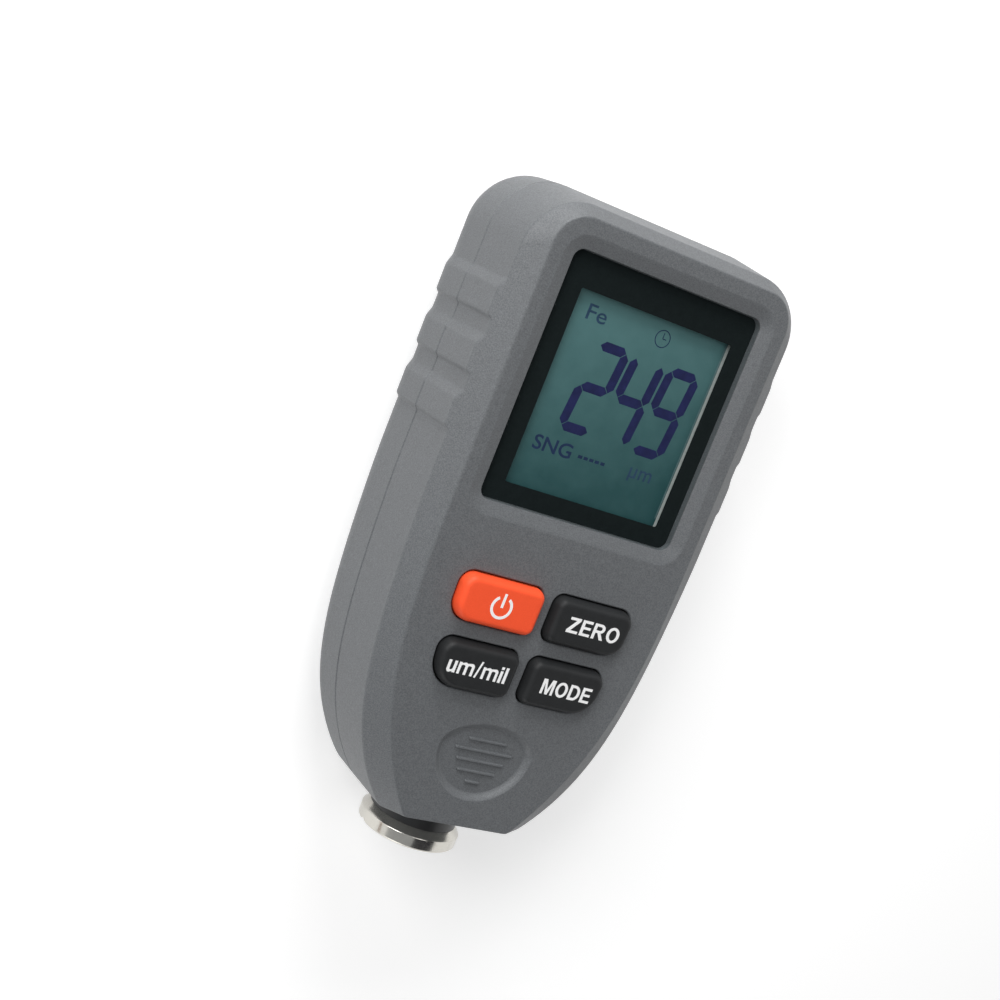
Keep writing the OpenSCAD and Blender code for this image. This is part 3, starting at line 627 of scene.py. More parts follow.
# ------------------------------------------------------------------ front shell
CHAMFER = 0.2
SEAM_GAP = 0.07
FACE_RUN = 0.8  # how far the lofted face runs in from its edge
EDGE_REACH = (0.04, 0.3, 0.28)  # how far the rounding reaches at the seam, the rim and the face
HOLLOW_STEP = 1.4  # how far below the rim the hollow starts to draw in
OVERLAP = 0.3  # how far the posts reach into the ceiling
LEDGE_LOW, LEDGE_TOP = 24.9, 26.6
BOSS_R = 2.7
BOARD_POSTS, BOARD_POST_R, BOARD_POST_LOW = ((21.4, 33.5), (20.0, -15.5)), 1.9, 18.6
COLLAR = ((7.5, -3), (9.4, -3), (9.4, 1.45), (9.3, 1.7), (9.05, 1.8), (7.5, 1.8))
PROBE_BORES = ((8.0, 3.0, -3.0), (10.2, -2.0, -20.6))  # radius, outer end, inner end
FLARE = 0.3  # radius of the rounded mouth of a key opening
THUMB_RIBS = ((-1, 0.4), (0, 0.6), (1, 0.5), (2, 0.4), (3, 0.15))  # row and share of THUMB_W
RIB_PITCH, RIB_W = 1.9, 0.5


def collar(name, z0, z1):
    """The part of the stub round the probe's bore that lies between two heights."""
    keep = slab("keep", box_2d(30, 20, 1, (0, END_Y)), z0, z1)
    return cut(lathe(name, COLLAR), keep, "INTERSECT")


def bore_probe(shell):
    """Cuts the probe's bore and the wider hole behind it along the probe's axis."""
    for r, out, inside in PROBE_BORES:
        ring = disc_2d(r, (0, SEAM_Z), 96)
        rings = [[(x, END_Y - s, z) for x, z in ring] for s in (out, inside)]
        cut(shell, face_outwards(loft("bore", rings)))


def lens_box(grow):
    """The lens's outline, larger by grow all round."""
    return box_2d(LENS_W + 2 * grow, LENS_L + 2 * grow, LENS_R + grow, (0, LENS_Y), 10)


def front_shell():
    """The front shell with its bevel, display recess, key openings and thumb dish."""
    seam0 = at_z(seam_outline(CHAMFER, RIDGE_OUT), SEAM_Z + SEAM_GAP)
    seam1 = at_z(seam_outline(0, RIDGE_OUT), SEAM_Z + SEAM_GAP + CHAMFER)
    rim = at_z(rim_outline(0, RIDGE_RIM_OUT), RIM_Z)
    stands_out = np.abs(rim[:, 0]) - np.abs(rim_outline(0)[:, 0])
    rim[:, 2] -= stands_out * (FACE_Z - RIM_Z) / BEVEL_W
    face = at_z(face_outline(0), FACE_Z)
    inner = at_z(face_outline(FACE_RUN), FACE_Z)
    shell = loft("front_shell", rounded_rings([seam0, seam1, rim, face, inner], EDGE_REACH))
    cavity = loft(
        "cavity",
        [
            at_z(seam_outline(WALL), SEAM_Z - 1),
            at_z(rim_outline(WALL), RIM_Z - HOLLOW_STEP),
            at_z(face_outline(WALL / 2), CEILING_Z),
        ],
    )
    cut(shell, cavity)
    ledge = box_2d(LENS_W + 2, LENS_L + 2, 1, (0, LENS_Y))
    add(shell, slab("ledge", ledge, LEDGE_LOW, LEDGE_TOP))
    for posts, r, z0 in (
        (BOSSES, BOSS_R, SEAM_Z + SEAM_GAP),
        (BOARD_POSTS, BOARD_POST_R, BOARD_POST_LOW),
    ):
        for x, y in posts:
            for side in (-1, 1):
                add(shell, slab("post", disc_2d(r, (side * x, y), 32), z0, CEILING_Z + OVERLAP))
    add(shell, collar("front_collar", SEAM_Z + SEAM_GAP, 40))
    pocket = [
        at_z(lens_box(grow), z)
        for grow, z in (
            (LENS_GAP, LENS_UNDER),
            (LENS_GAP, LENS_Z - 0.02),
            (DISH_W, FACE_Z),
            (DISH_W + 0.5, FACE_Z + 0.04),
            (DISH_W + 0.5, FACE_Z + 1),
        )
    ]
    cut(shell, loft("pocket", rounded_rings(pocket, (0.08, 0.5, 0))))
    cut(shell, slab("window", box_2d(*WINDOW, LENS_R, (0, WINDOW_Y)), 24, 27))
    for row in (0, 1):
        for side in (-1, 1):
            flare = [at_z(key_outline(row, 0, side), CEILING_Z - 1.5)]
            for a in np.radians(np.linspace(0, 80, 5)):
                mouth = key_outline(row, -FLARE * (1 - math.cos(a)), side)
                flare.append(at_z(mouth, FACE_Z - FLARE + FLARE * math.sin(a)))
            flare.append(at_z(key_outline(row, -FLARE, side), FACE_Z + 1))
            cut(shell, loft("opening", flare))
    dish = []
    for u in np.linspace(0, 1, 13):
        s = 1.03 * u * u * (3 - 2 * u)
        dish.append(at_z(egg(THUMB_SLOPE * (1 - u)), FACE_Z - THUMB_DEPTH * (1 - s)))
    dish.append(at_z(egg(0), FACE_Z + 1))
    cut(shell, loft("dish", dish))
    floor = FACE_Z - THUMB_DEPTH
    for row, share in THUMB_RIBS:
        y, length = THUMB_Y - (row + 0.05) * RIB_PITCH, share * THUMB_W
        rib = [
            at_z(box_2d(length - i, RIB_W - i, (RIB_W - i) / 2 - 0.005, (0, y), 5), floor + z)
            for i, z in ((0, -0.4), (0, 0.2), (0.1, 0.36), (0.26, 0.44))
        ]
        add(shell, loft("rib", rib))
    bore_probe(shell)
    finish_piece(shell, "case", case_mat, ["front_case"])


front_shell()

# ------------------------------------------------------------------ rear shell
BAY_Y, BAY_W, BAY_L = 25.9, 21.9, 49.8
ROOF_Z, BAY_TOP = 12.6, 13.8
DOOR_W, DOOR_L, DOOR_R, DOOR_GAP, DOOR_SINK, DOOR_T = 23.9, 51.8, 2.0, 0.2, 0.1, 1.5
LEDGE_Z = 1.55
BAY_END = BAY_Y + BAY_L / 2
TONGUES = ((0, 2.6), (-10.15, 1.2), (10.15, 1.2))
SLOT_GAP, SLOT_STEP_Z, SLOT_TOP = 0.4, 2.4, 3.8
RISER_L, RISER_TOP = 1.2, 3.5
TONGUE_L, TONGUE_LOW, TONGUE_TOP = 3.4, 2.5, 3.49
LATCH_W, LATCH_L, LATCH_TOP = 2.6, 1.0, 3.6
SCOOP_Y, SCOOP_W, SCOOP_L, SCOOP_R = 6.0, 11, 5, 2.48
BAR_W, BAR_L, BAR_PITCH = 6.6, 0.5, 1.25
FLOOR_IN = 1.9  # where the posts and bay walls start, inside the back wall
POST_FOOT_R, POST_FOOT_TOP = 3.2, 6.9
SCREW_HEAD_R, SCREW_HOLE_R = 2.3, 1.2


def rear_shell():
    """The rear shell with its round back edge, battery bay, door rebate and screw recesses."""
    rings = []
    for degrees in np.linspace(0, 90, 11):
        a = math.radians(degrees)
        ridge = RIDGE_OUT * min(1, max(0, (degrees - 35) / 25))
        rings.append(
            at_z(seam_outline(BACK_R * (1 - math.sin(a)), ridge), BACK_R * (1 - math.cos(a)))
        )
    rings.append(at_z(seam_outline(0, RIDGE_OUT), SEAM_Z - SEAM_GAP - CHAMFER))
    rings.append(at_z(seam_outline(CHAMFER, RIDGE_OUT), SEAM_Z - SEAM_GAP))
    shell = loft("rear_shell", rings)
    cavity = loft(
        "cavity",
        [
            at_z(seam_outline(BACK_R), BACK_WALL),
            at_z(seam_outline(WALL), BACK_R),
            at_z(seam_outline(WALL), SEAM_Z + 1),
        ],
    )
    cut(shell, cavity)
    walls = box_2d(BAY_W + 2.4, BAY_L + 2.4, 0.4, (0, BAY_Y))
    add(shell, slab("bay_walls", walls, FLOOR_IN, BAY_TOP))
    for x, y in BOSSES:
        for side in (-1, 1):
            for r, top in ((BOSS_R, SEAM_Z - SEAM_GAP), (POST_FOOT_R, POST_FOOT_TOP)):
                add(shell, slab("post", disc_2d(r, (side * x, y), 32), FLOOR_IN, top))
    add(shell, collar("rear_collar", -10, SEAM_Z - SEAM_GAP))
    cut(shell, slab("bay", box_2d(BAY_W, BAY_L, 0.3, (0, BAY_Y)), -1, ROOF_Z))
    w, l, r = DOOR_W + 2 * DOOR_GAP, DOOR_L + 2 * DOOR_GAP, DOOR_R + DOOR_GAP
    rebate = [
        at_z(box_2d(w + i, l + i, r + i / 2, (0, BAY_Y)), z)
        for i, z in ((0.4, -1), (0.4, 0.0), (0.12, 0.06), (0, 0.2), (0, LEDGE_Z))
    ]
    cut(shell, loft("rebate", rebate))
    for x, w in TONGUES:
        for l, y, z0 in ((1.6, 0.6, LEDGE_Z), (2.6, 1.1, SLOT_STEP_Z)):
            slot = box_2d(w + SLOT_GAP, l, 0.1, (x, BAY_END + y))
            cut(shell, slab("slot", slot, z0, SLOT_TOP))
    for x, y in BOSSES:
        for side in (-1, 1):
            centre = (side * x, y)
            recess = [
                at_z(disc_2d(SCREW_HEAD_R + i, centre), z)
                for i, z in ((0.3, -1), (0.3, 0), (0.09, 0.09), (0, 0.3), (0, 6))
            ]
            cut(shell, loft("recess", recess))
            cut(shell, slab("hole", disc_2d(SCREW_HOLE_R, centre, 32), 5, SEAM_Z + 1))
    bore_probe(shell)
    finish_piece(shell, "case", case_mat, ["rear_case"])


rear_shell()


def door():
    """The battery door: plate with eased edges, a thumb scoop, three tongues and the latch tab."""
    z0, z1 = DOOR_SINK, DOOR_T
    rings = [
        at_z(box_2d(DOOR_W - i, DOOR_L - i, DOOR_R - i / 2, (0, BAY_Y)), z)
        for i, z in ((0.5, z0), (0.15, z0 + 0.07), (0, z0 + 0.25), (0, z1))
    ]
    plate = loft("door_panel", rings)
    levels = (-0.4, -1), (-0.3, z0 - 0.01), (0.2, z0 + 0.12), (0.9, z0 + 0.5), (1.5, z0 + 0.6)
    scoop = [
        at_z(box_2d(SCOOP_W - i, SCOOP_L - i, SCOOP_R - i / 2, (0, SCOOP_Y)), z) for i, z in levels
    ]
    cut(plate, loft("scoop", scoop))
    for i in (-1, 0, 1):
        bar = [
            at_z(box_2d(BAR_W - e, BAR_L - e, 0.24 - e / 2, (0, SCOOP_Y + BAR_PITCH * i), 5), z)
            for e, z in ((0.24, z0 + 0.04), (0.1, z0 + 0.1), (0, z0 + 0.25), (0, z0 + 0.8))
        ]
        add(plate, loft("bar", bar))
    for x, w in TONGUES:
        riser = box_2d(w, RISER_L, 0.1, (x, BAY_END - RISER_L / 2))
        add(plate, slab("riser", riser, z1 - 0.1, RISER_TOP))
        tongue = box_2d(w, TONGUE_L, 0.1, (x, BAY_END + 0.5))
        add(plate, slab("tongue", tongue, TONGUE_LOW, TONGUE_TOP))
    latch = box_2d(LATCH_W, LATCH_L, 0.15, (0, BAY_END - BAY_L + 0.9))
    add(plate, slab("latch", latch, z1 - 0.1, LATCH_TOP))
    finish_piece(plate, "door", case_mat, ["battery_door"])


door()

# ------------------------------------------------------------------ keys
KEYS = (
    ("power", -1, 0, "red_key", red_mat),
    ("zero", 1, 0, "black_key", black_mat),
    ("unit", -1, 1, "black_key", black_mat),
    ("mode", 1, 1, "black_key", black_mat),
)
PRINT_T = 0.03
CAP_TOP = KEY_TOP - PRINT_T  # leaves room for the print below the solid's top
PRINT_Z = CAP_TOP - 0.004
FLANGE_LOW, FLANGE_TOP, FLANGE_OUT = 25.05, 26.05, 0.7
STEM_R, STEM_LOW, STEM_TOP = 2.2, 22.6, 25.5
CAP_LOW = 26.0
CAP_RINGS = (  # how far in from the opening's outline, and at what height, the cap's side runs
    (0.25, CAP_LOW),
    (0.25, CAP_TOP - 1.45),
    (0.62, CAP_TOP - 0.42),
    (1.15, CAP_TOP - 0.03),
    (1.75, CAP_TOP),
)


def key_piece(name, side, row, slot, material):
    """A key: its rounded cap, the flange under the face and the stem over the plunger."""
    rings = [at_z(key_outline(row, inset, side), z) for inset, z in CAP_RINGS]
    cap = loft(f"{name}_cap", rounded_rings(rings, (0.5, 0.4, 0.25)))
    add(cap, slab("flange", key_outline(row, -FLANGE_OUT, side), FLANGE_LOW, FLANGE_TOP))
    centre = (side * KEY_X[row], KEY_Y[row])
    add(cap, slab("stem", disc_2d(STEM_R, centre, 32), STEM_LOW, STEM_TOP))
    finish_piece(cap, name, material, [f"{name}_key"])


for key in KEYS:
    key_piece(*key)

# ------------------------------------------------------------------ lettering


def flat_piece(name, polygons, z, thickness, body, material):
    """Thin raised print from outlines in millimetres."""
    verts, faces = [], []
    for outline in polygons:
        outline = np.asarray(outline, float)
        area = np.sum(
            outline[:, 0] * np.roll(outline[:, 1], -1) - np.roll(outline[:, 0], -1) * outline[:, 1]
        )
        if area < 0:
            outline = outline[::-1]
        n, start = len(outline), len(verts)
        verts += [(x, y, z) for x, y in outline] + [(x, y, z + thickness) for x, y in outline]
        faces.append(tuple(start + i for i in reversed(range(n))))
        faces.append(tuple(start + n + i for i in range(n)))
        for i in range(n):
            j = (i + 1) % n
            faces.append((start + i, start + j, start + n + j, start + n + i))
    finish_piece(mesh_from(name, verts, faces), body, material, welded=True)


def band(inner, outer, start, end, centre, steps=40):
    """An arc of a ring, in degrees."""
    out = oval(centre, outer, outer, start, end, steps)
    return out + oval(centre, inner, inner, start, end, steps)[::-1]


STROKES = 12  # shifted copies that widen the strokes of the display's words


def words(name, text, height, width, centre, bold, material):
    """Lettering on the display, centred on a point, its strokes widened by bold."""
    curve = bpy.data.curves.new(name, "FONT")
    curve.body = text
    curve.size = 1.0
    curve.extrude = 0.02
    curve.resolution_u = 6
    curve.space_character = 1 + bold / 6
    obj = placed(name, curve)
    graph = bpy.context.evaluated_depsgraph_get()
    mesh = bpy.data.meshes.new_from_object(obj.evaluated_get(graph))
    bpy.data.objects.remove(obj)
    points = np.array([v.co for v in mesh.vertices])
    low, high = points.min(0), points.max(0)
    scale_x = (width - 2 * bold) / (high[0] - low[0])
    scale_y = (height - 2 * bold) / (high[1] - low[1])
    middle = (low + high) / 2
    points = np.c_[
        centre[0] + (points[:, 0] - middle[0]) * scale_x,
        centre[1] + (points[:, 1] - middle[1]) * scale_y,
        INK_Z + INK_T * (points[:, 2] - low[2]) / (high[2] - low[2]),
    ]
    faces = [tuple(f.vertices) for f in mesh.polygons]
    bpy.data.meshes.remove(mesh)
    letters = None
    for k in range(STROKES):
        a = 2 * math.pi * k / STROKES
        shift = np.array([bold * math.cos(a), bold * math.sin(a), 0])
        copy = mesh_from(name if letters is None else "stroke", points + shift, faces)
        weld(copy, 1e-6)
        evaluate(copy)
        letters = copy if letters is None else add(letters, copy)
    finish_piece(letters, "case", material)


PEN, PEN_FLAT = 0.20, 0.17  # upright and level strokes for capitals 1 high


def oval(centre, rx, ry, start, end, steps=14):
    """Points of part of an ellipse, in degrees."""
    a = np.radians(np.linspace(start, end, steps))
    return [(centre[0] + rx * math.cos(t), centre[1] + ry * math.sin(t)) for t in a]


def block(x0, y0, x1, y1):
    """A rectangle, counter-clockwise."""
    return [(x0, y0), (x1, y0), (x1, y1), (x0, y1)]


def bowl(x, low, high, rx):
    """The round right side of a letter that springs from its stem at PEN."""
    middle, half = (x, (low + high) / 2), (high - low) / 2
    outer = oval(middle, rx, half, -90, 90)
    inner = oval(middle, rx - PEN, half - PEN_FLAT, 90, -90)
    return [(PEN, low), *outer, (PEN, high), (PEN, high - PEN_FLAT), *inner, (PEN, low + PEN_FLAT)]


X_HIGH = 0.74  # height of small letters
O_HALF = (0.44, 0.51)
O_IN = (O_HALF[0] - PEN, O_HALF[1] - PEN_FLAT)
GLYPHS = {  # width and outlines of each letter
    "Z": (0.78, [[
        (0, 0), (0.78, 0), (0.78, 0.17), (0.27, 0.17), (0.77, 0.84), (0.77, 1), (0.04, 1),
        (0.04, 0.83), (0.50, 0.83), (0, 0.16),
    ]]),
    "E": (0.72, [[
        (0, 0), (0.72, 0), (0.72, 0.17), (0.2, 0.17), (0.2, 0.43), (0.66, 0.43), (0.66, 0.59),
        (0.2, 0.59), (0.2, 0.83), (0.70, 0.83), (0.70, 1), (0, 1),
    ]]),
    "R": (0.84, [
        block(0, 0, PEN, 1), bowl(0.47, 0.41, 1, 0.31),
        [(0.35, 0.41), (0.58, 0.41), (0.84, 0), (0.60, 0)],
    ]),
    "O": (0.88, [
        [*oval((0.44, 0.5), *O_HALF, 90, 270), *oval((0.44, 0.5), *O_IN, 270, 90)],
        [*oval((0.44, 0.5), *O_HALF, -90, 90), *oval((0.44, 0.5), *O_IN, 90, -90)],
    ]),
    "M": (0.94, [[
        (0, 0), (0.18, 0), (0.18, 0.76), (0.38, 0), (0.56, 0), (0.76, 0.76), (0.76, 0), (0.94, 0),
        (0.94, 1), (0.66, 1), (0.47, 0.30), (0.28, 1), (0, 1),
    ]]),
    "D": (0.82, [block(0, 0, PEN, 1), bowl(0.38, 0, 1, 0.44)]),
    "u": (0.60, [[
        (0.6, 0), (0.6, X_HIGH), (0.41, X_HIGH), *oval((0.28, 0.29), 0.13, 0.14, 0, -90, 6),
        *oval((0.25, 0.25), 0.06, 0.10, 270, 180, 5), (0.19, X_HIGH), (0, X_HIGH),
        *oval((0.20, 0.20), 0.20, 0.22, 180, 270, 7), (0.41, 0.06), (0.41, 0),
    ]]),
    "m": (1.08, [[
        (0, 0), (0.18, 0), (0.18, X_HIGH - 0.2), (0.25, X_HIGH - 0.15), (0.38, X_HIGH - 0.15),
        (0.45, X_HIGH - 0.2), (0.45, 0), (0.63, 0), (0.63, X_HIGH - 0.2), (0.70, X_HIGH - 0.15),
        (0.83, X_HIGH - 0.15), (0.90, X_HIGH - 0.2), (0.90, 0), (1.08, 0),
        *oval((0.88, X_HIGH - 0.19), 0.2, 0.21, 0, 90, 7), (0.57, X_HIGH - 0.03),
        (0.43, X_HIGH + 0.02), (0.18, X_HIGH - 0.06), (0.18, X_HIGH), (0, X_HIGH),
    ]]),
    "/": (0.34, [[(0, -0.02), (0.13, -0.02), (0.36, 1.02), (0.23, 1.02)]]),
    "i": (0.19, [block(0, 0, 0.19, X_HIGH), block(0, 0.83, 0.19, 1)]),
    "l": (0.19, [block(0, 0, 0.19, 1)]),
}
GLYPH_GAP = 0.13


def legend(name, text, height, width, centre):
    """A key's legend printed in plain bold letters, centred on a point."""
    outlines, x = [], 0.0
    for letter in text:
        advance, shapes = GLYPHS[letter]
        outlines += [np.array(shape) + (x, 0) for shape in shapes]
        x += advance + GLYPH_GAP
    middle = np.array([(x - GLYPH_GAP) / 2, 0.5])
    scale = np.array([width / (x - GLYPH_GAP), height])
    outlines = [(shape - middle) * scale + centre for shape in outlines]
    flat_piece(f"{name}_legend", outlines, PRINT_Z, PRINT_T, name, ink_mat)


for name, text, side, row, width, height, dx, dy in (
    ("zero", "ZERO", 1, 0, 10.6, 2.75, 0.25, 0.05),
    ("unit", "um/mil", -1, 1, 11.4, 2.8, -0.05, 0.22),
    ("mode", "MODE", 1, 1, 10.1, 2.7, 0.1, 0.05),
):
    legend(name, text, height, width, (side * KEY_X[row] + dx, KEY_Y[row] + dy))

POWER_X, POWER_Y = -KEY_X[0], KEY_Y[0] - 0.1
POWER_IN_R, POWER_OUT_R, POWER_GAP = 1.55, 2.05, 32  # the gap is half the opening, in degrees
POWER_BAR = 0.24
power_symbol = [
    band(POWER_IN_R, POWER_OUT_R, 90 + POWER_GAP, 450 - POWER_GAP, (POWER_X, POWER_Y)),
    block(POWER_X - POWER_BAR, POWER_Y - 0.05, POWER_X + POWER_BAR, POWER_Y + 2.4),
]
flat_piece("power_legend", power_symbol, PRINT_Z, PRINT_T, "power", ink_mat)

# ------------------------------------------------------------------ display
INK_Z = PANEL_TOP - 0.005
INK_T = 0.02
EDGE_X, EDGE_W, EDGE_LOW, EDGE_HIGH = 15.95, 0.22, LENS_Y - 16.4, LENS_Y + 15.2
BORDER_LOW, BORDER_TOP = LENS_UNDER + 0.02, LENS_UNDER + 0.07
CLEAR_W, CLEAR_L, CLEAR_R, CLEAR_AT = 31.0, 33.0, 0.3, (0.4, LENS_Y - 1.1)

border = slab("lens_border", lens_box(-0.08), BORDER_LOW, BORDER_TOP)
opening = box_2d(CLEAR_W, CLEAR_L, CLEAR_R, CLEAR_AT, 4)
cut(border, slab("hole", opening, BORDER_LOW - 0.5, BORDER_TOP + 0.5))
finish_piece(border, "case", border_mat)

DIGIT_H, DIGIT_W, DIGIT_T, DIGIT_GAP = 14.2, 7.0, 1.65, 0.08
DIGIT_PITCH, DIGIT_SLANT = 7.42, math.tan(math.radians(5.2))
SEGMENTS = {"2": "abged", "4": "fgbc", "9": "abfgcd"}


def digit_segments(digit, x0, y0):
    """Outlines of one seven-segment digit whose lower left corner is at x0, y0."""
    w, h, c, g = DIGIT_W, DIGIT_H / 2, DIGIT_T / 2, DIGIT_GAP

    def level(y):
        return [
            (c + g, y), (c + g + c, y + c), (w - c - g - c, y + c),
            (w - c - g, y), (w - c - g - c, y - c), (c + g + c, y - c),
        ]

    def upright(x, y):
        return [
            (x, y + g), (x + c, y + g + c), (x + c, y + h - c - g),
            (x, y + h - g), (x - c, y + h - c - g), (x - c, y + g + c),
        ]

    shapes = {
        "a": level(2 * h), "g": level(h), "d": level(0),
        "f": upright(c, h), "b": upright(w - c, h),
        "e": upright(c, 0), "c": upright(w - c, 0),
    }
    return [
        [(x0 + x + (y - h) * DIGIT_SLANT, y0 + y) for x, y in shapes[s]] for s in SEGMENTS[digit]
    ]


def ink(name, outlines, material):
    """Outlines drawn on the display's panel."""
    flat_piece(name, outlines, INK_Z, INK_T, "case", material)


DIGITS_X, DIGITS_Y = -8.6, LENS_Y - 6.25
CLOCK_X, CLOCK_Y, CLOCK_IN_R, CLOCK_OUT_R = 3.6, LENS_Y + 12.35, 1.35, 1.52
HAND, MINUTE_L, HOUR_L = 0.08, 1.0, 0.75  # half the width and the lengths of the clock's hands
DASH_X, DASH_Y, DASH_PITCH, DASH_W, DASH_HALF = -3.1, LENS_Y - 10.35, 1.15, 0.85, 0.27

digits = []
for i, digit in enumerate("249"):
    digits += digit_segments(digit, DIGITS_X + i * DIGIT_PITCH, DIGITS_Y)
ink("lcd_digits", digits, segment_mat)
marks = [
    band(CLOCK_IN_R, CLOCK_OUT_R, 0, 359.9, (CLOCK_X, CLOCK_Y), 60),
    block(CLOCK_X - HAND, CLOCK_Y, CLOCK_X + HAND, CLOCK_Y + MINUTE_L),
    block(CLOCK_X, CLOCK_Y - HAND, CLOCK_X + HOUR_L, CLOCK_Y + HAND),
]
for i in range(5):
    x = DASH_X + i * DASH_PITCH
    marks.append(block(x, DASH_Y - DASH_HALF, x + DASH_W, DASH_Y + DASH_HALF))
ink("lcd_marks", marks, symbol_mat)
words("lcd_metal", "Fe", 2.6, 3.9, (-9.8, LENS_Y + 12.3), 0.03, faint_mat)
words("lcd_mode", "SNG", 2.5, 7.6, (-8.3, LENS_Y - 10.1), 0.06, symbol_mat)
words("lcd_unit", "µm", 2.4, 4.7, (9.8, LENS_Y - 10.5), 0.03, faint_mat)
# A painted highlight: a light strip on the panel for the glint of the glass's edge.
ink("lcd_glass_edge_glint", [block(EDGE_X, EDGE_LOW, EDGE_X + EDGE_W, EDGE_HIGH)], edge_glint_mat)

# ------------------------------------------------------------------ pieces with their CAD shape


def dress(name, cad, body, material, edge=0.0):
    """A copy of a CAD mesh, welded and with its edges eased."""
    obj = placed(name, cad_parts[cad].data.copy())
    weld(obj)
    flat = obj.modifiers.new("flat", "DECIMATE")
    flat.decimate_type = "DISSOLVE"
    flat.angle_limit = math.radians(0.4)
    if edge:
        ease = obj.modifiers.new("ease", "BEVEL")
        ease.width = edge * MM
        ease.segments = 3
        ease.limit_method = "ANGLE"
        ease.angle_limit = math.radians(35)
        ease.miter_outer = "MITER_ARC"
    evaluate(obj)
    return finish_piece(obj, body, material, [cad], welded=True)


for cad, slot, material, edge, body in (
    ("probe_ring", "ring_metal", ring_mat, 0.12, "probe"),
    ("probe_neck", "black_plastic", neck_mat, 0.1, "probe"),
    ("probe_core", "steel", steel_mat, 0.0, "probe"),
    ("probe_bobbin", "black_plastic", neck_mat, 0.05, "probe"),
    ("battery_cell_left", "cell_wrap", wrap_mat, 0.35, "case"),
    ("battery_cell_right", "cell_wrap", wrap_mat, 0.35, "case"),
    ("battery_contacts", "steel", steel_mat, 0.08, "case"),
    ("case_screws", "steel", steel_mat, 0.12, "case"),
    ("display_lens", "lens", lens_mat, 0.12, "case"),
):
    dress(f"{cad}_eased", cad, body, material, edge)

# The spring is pressed together as the probe slides in; its copy rides on the case and gets a mesh
# of its own.
coil = dress("probe_spring_coil", "probe_spring", "case", steel_mat)
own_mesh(coil)

for material, names in (
    (panel_mat, ["lcd_panel"]),
    (white_mat, ["lcd_backlight", "lcd_frame", "probe_sleeve"]),
    (white_mat, [f"{key[0]}_plunger" for key in KEYS]),
    (rubber_mat, ["zebra_strip"]),
    (board_mat, ["main_board"]),
    (neck_mat, ["board_chips", "buzzer"]),
    (steel_mat, ["battery_spring_left", "battery_spring_right", "board_screws"]),
    (steel_mat, [f"{key[0]}_switch" for key in KEYS]),
    (copper_mat, ["probe_coil"]),
):
    for name in names:
        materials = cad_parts[name].data.materials
        materials.clear()
        materials.append(material)

# ------------------------------------------------------------------ floor, world and lights
WORLD_LIGHT = 0.2
FLOOR_HALF, FLOOR_Z = 3.0, -0.00002
FLOOR_COLOUR = (0.82, 0.82, 0.82, 1)
FLOOR_GLOW, GLOW_REACH = 0.45, (0.3, 1.5)  # the glow near the part, and where it grows to 1
LAMP_SIZE, LAMP_TARGET = 0.3, (0, 0.01, 0.02)
CARD_R, CARD_Y, CARD_STEPS = 0.7, (-1.2, 0.5), 12


def is_seen(tree):
    """A factor that is 1 for camera, glossy and transmission rays."""
    rays = tree.nodes.new("ShaderNodeLightPath").outputs
    seen = maths(tree, "MAXIMUM", rays["Is Camera Ray"], rays["Is Glossy Ray"])
    return maths(tree, "MAXIMUM", seen, rays["Is Transmission Ray"])


world = bpy.data.worlds.new("studio")
world.use_nodes = True
tree = world.node_tree
background = tree.nodes["Background"]
background.inputs["Color"].default_value = (1, 1, 1, 1)
light = spread(tree, is_seen(tree), WORLD_LIGHT, 1.0, (0, 1))
tree.links.new(light, background.inputs["Strength"])
bpy.context.scene.world = world

floor_mesh = bpy.data.meshes.new("floor")
corners = block(-FLOOR_HALF, -FLOOR_HALF, FLOOR_HALF, FLOOR_HALF)
floor_mesh.from_pydata([(x, y, FLOOR_Z) for x, y in corners], [], [(0, 1, 2, 3)])
floor = placed("floor", floor_mesh)
floor_mat, tree, principled = shader("floor_white")
principled.inputs["Base Color"].default_value = FLOOR_COLOUR
principled.inputs["Roughness"].default_value = 0.9
principled.inputs["Specular IOR Level"].default_value = 0.0
glow = node(tree, "ShaderNodeEmission")
glow.inputs["Color"].default_value = (1, 1, 1, 1)
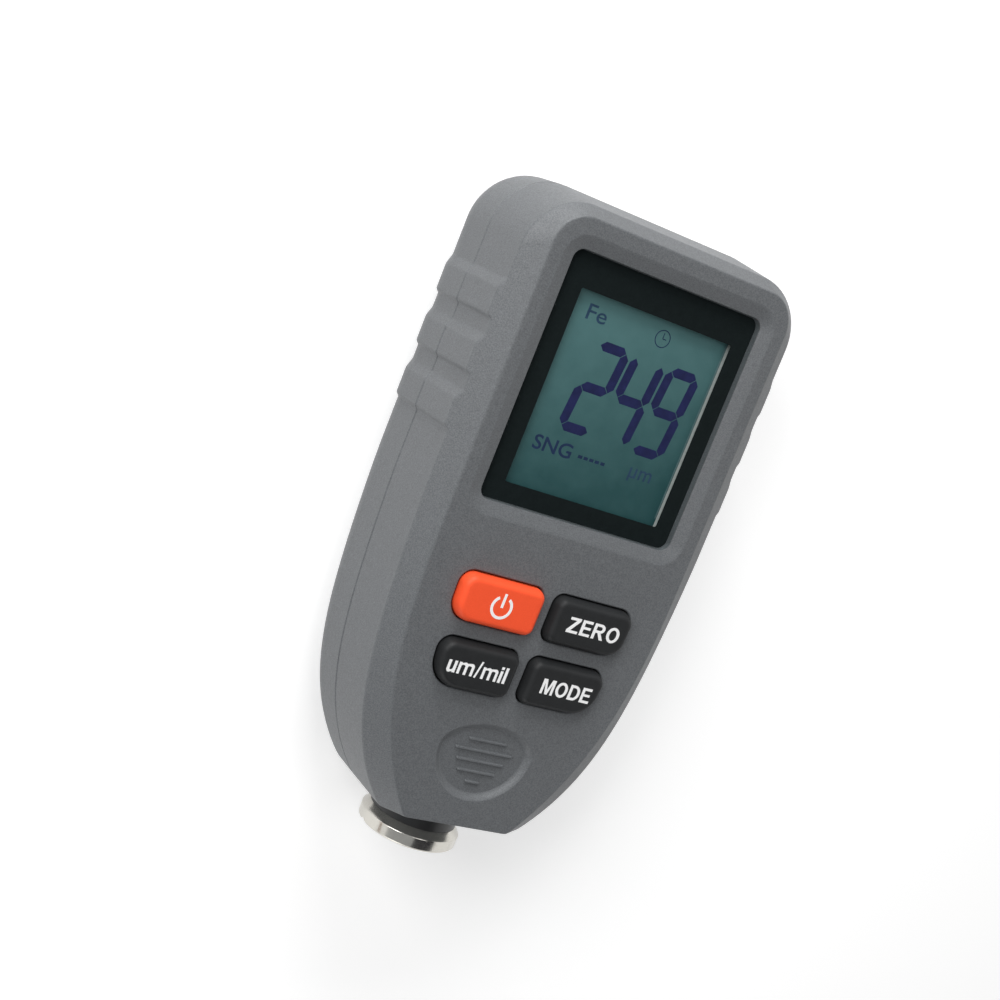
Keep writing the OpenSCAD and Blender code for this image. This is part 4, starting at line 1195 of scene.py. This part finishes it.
# The lamps light the floor near the object; further off it glows white by itself.
reach = tree.nodes.new("ShaderNodeVectorMath")
reach.operation = "LENGTH"
tree.links.new(coordinates(tree), reach.inputs[0])
far = spread(tree, reach.outputs["Value"], FLOOR_GLOW, 1.0, GLOW_REACH)
tree.links.new(maths(tree, "MULTIPLY", is_seen(tree), far), glow.inputs["Strength"])
both = tree.nodes.new("ShaderNodeAddShader")
tree.links.new(principled.outputs[0], both.inputs[0])
tree.links.new(glow.outputs[0], both.inputs[1])
tree.links.new(both.outputs[0], tree.nodes["Material Output"].inputs["Surface"])
floor_mesh.materials.append(floor_mat)


def softbox(name, at, power):
    """A square lamp aimed at the part."""
    light = bpy.data.lights.new(name, "AREA")
    light.shape = "RECTANGLE"
    light.size = light.size_y = LAMP_SIZE
    light.energy = power
    obj = placed(name, light)
    obj.location = at
    aim = Vector(LAMP_TARGET) - Vector(at)
    obj.rotation_euler = aim.to_track_quat("-Z", "Y").to_euler()


softbox("top_light", (-0.15, 0.54, 0.23), 2.6)
softbox("left_light", (-0.44, 0.22, 0.33), 1.8)
softbox("upper_light", (0.06, 0.06, 0.6), 0.5)
softbox("low_light", (-0.2, -0.58, 0.12), 0.8)


def card(name, start, end, colour):
    """Part of a tube about the Y axis that only reflections see.

    It runs between two angles in degrees, counted from straight up towards +X.
    """
    a = np.radians(np.linspace(start, end, CARD_STEPS))
    verts = [(CARD_R * math.sin(t), y, CARD_R * math.cos(t)) for y in CARD_Y for t in a]
    faces = [(i, i + 1, CARD_STEPS + i + 1, CARD_STEPS + i) for i in range(CARD_STEPS - 1)]
    mesh = bpy.data.meshes.new(name)
    mesh.from_pydata(verts, [], faces)
    obj = placed(name, mesh)
    material, tree, surface = bare_shader(name)
    shine = node(tree, "ShaderNodeEmission")
    shine.inputs["Color"].default_value = (*colour, 1)
    tree.links.new(shine.outputs[0], surface)
    mesh.materials.append(material)
    for ray in ("camera", "diffuse", "transmission", "volume_scatter", "shadow"):
        setattr(obj, f"visible_{ray}", False)


card("dark_card", -6, 42, (0.04, 0.04, 0.045))
card("grey_card", -68, -6, (0.40, 0.41, 0.42))
card("hand_card", -100, -84, (0.40, 0.31, 0.26))
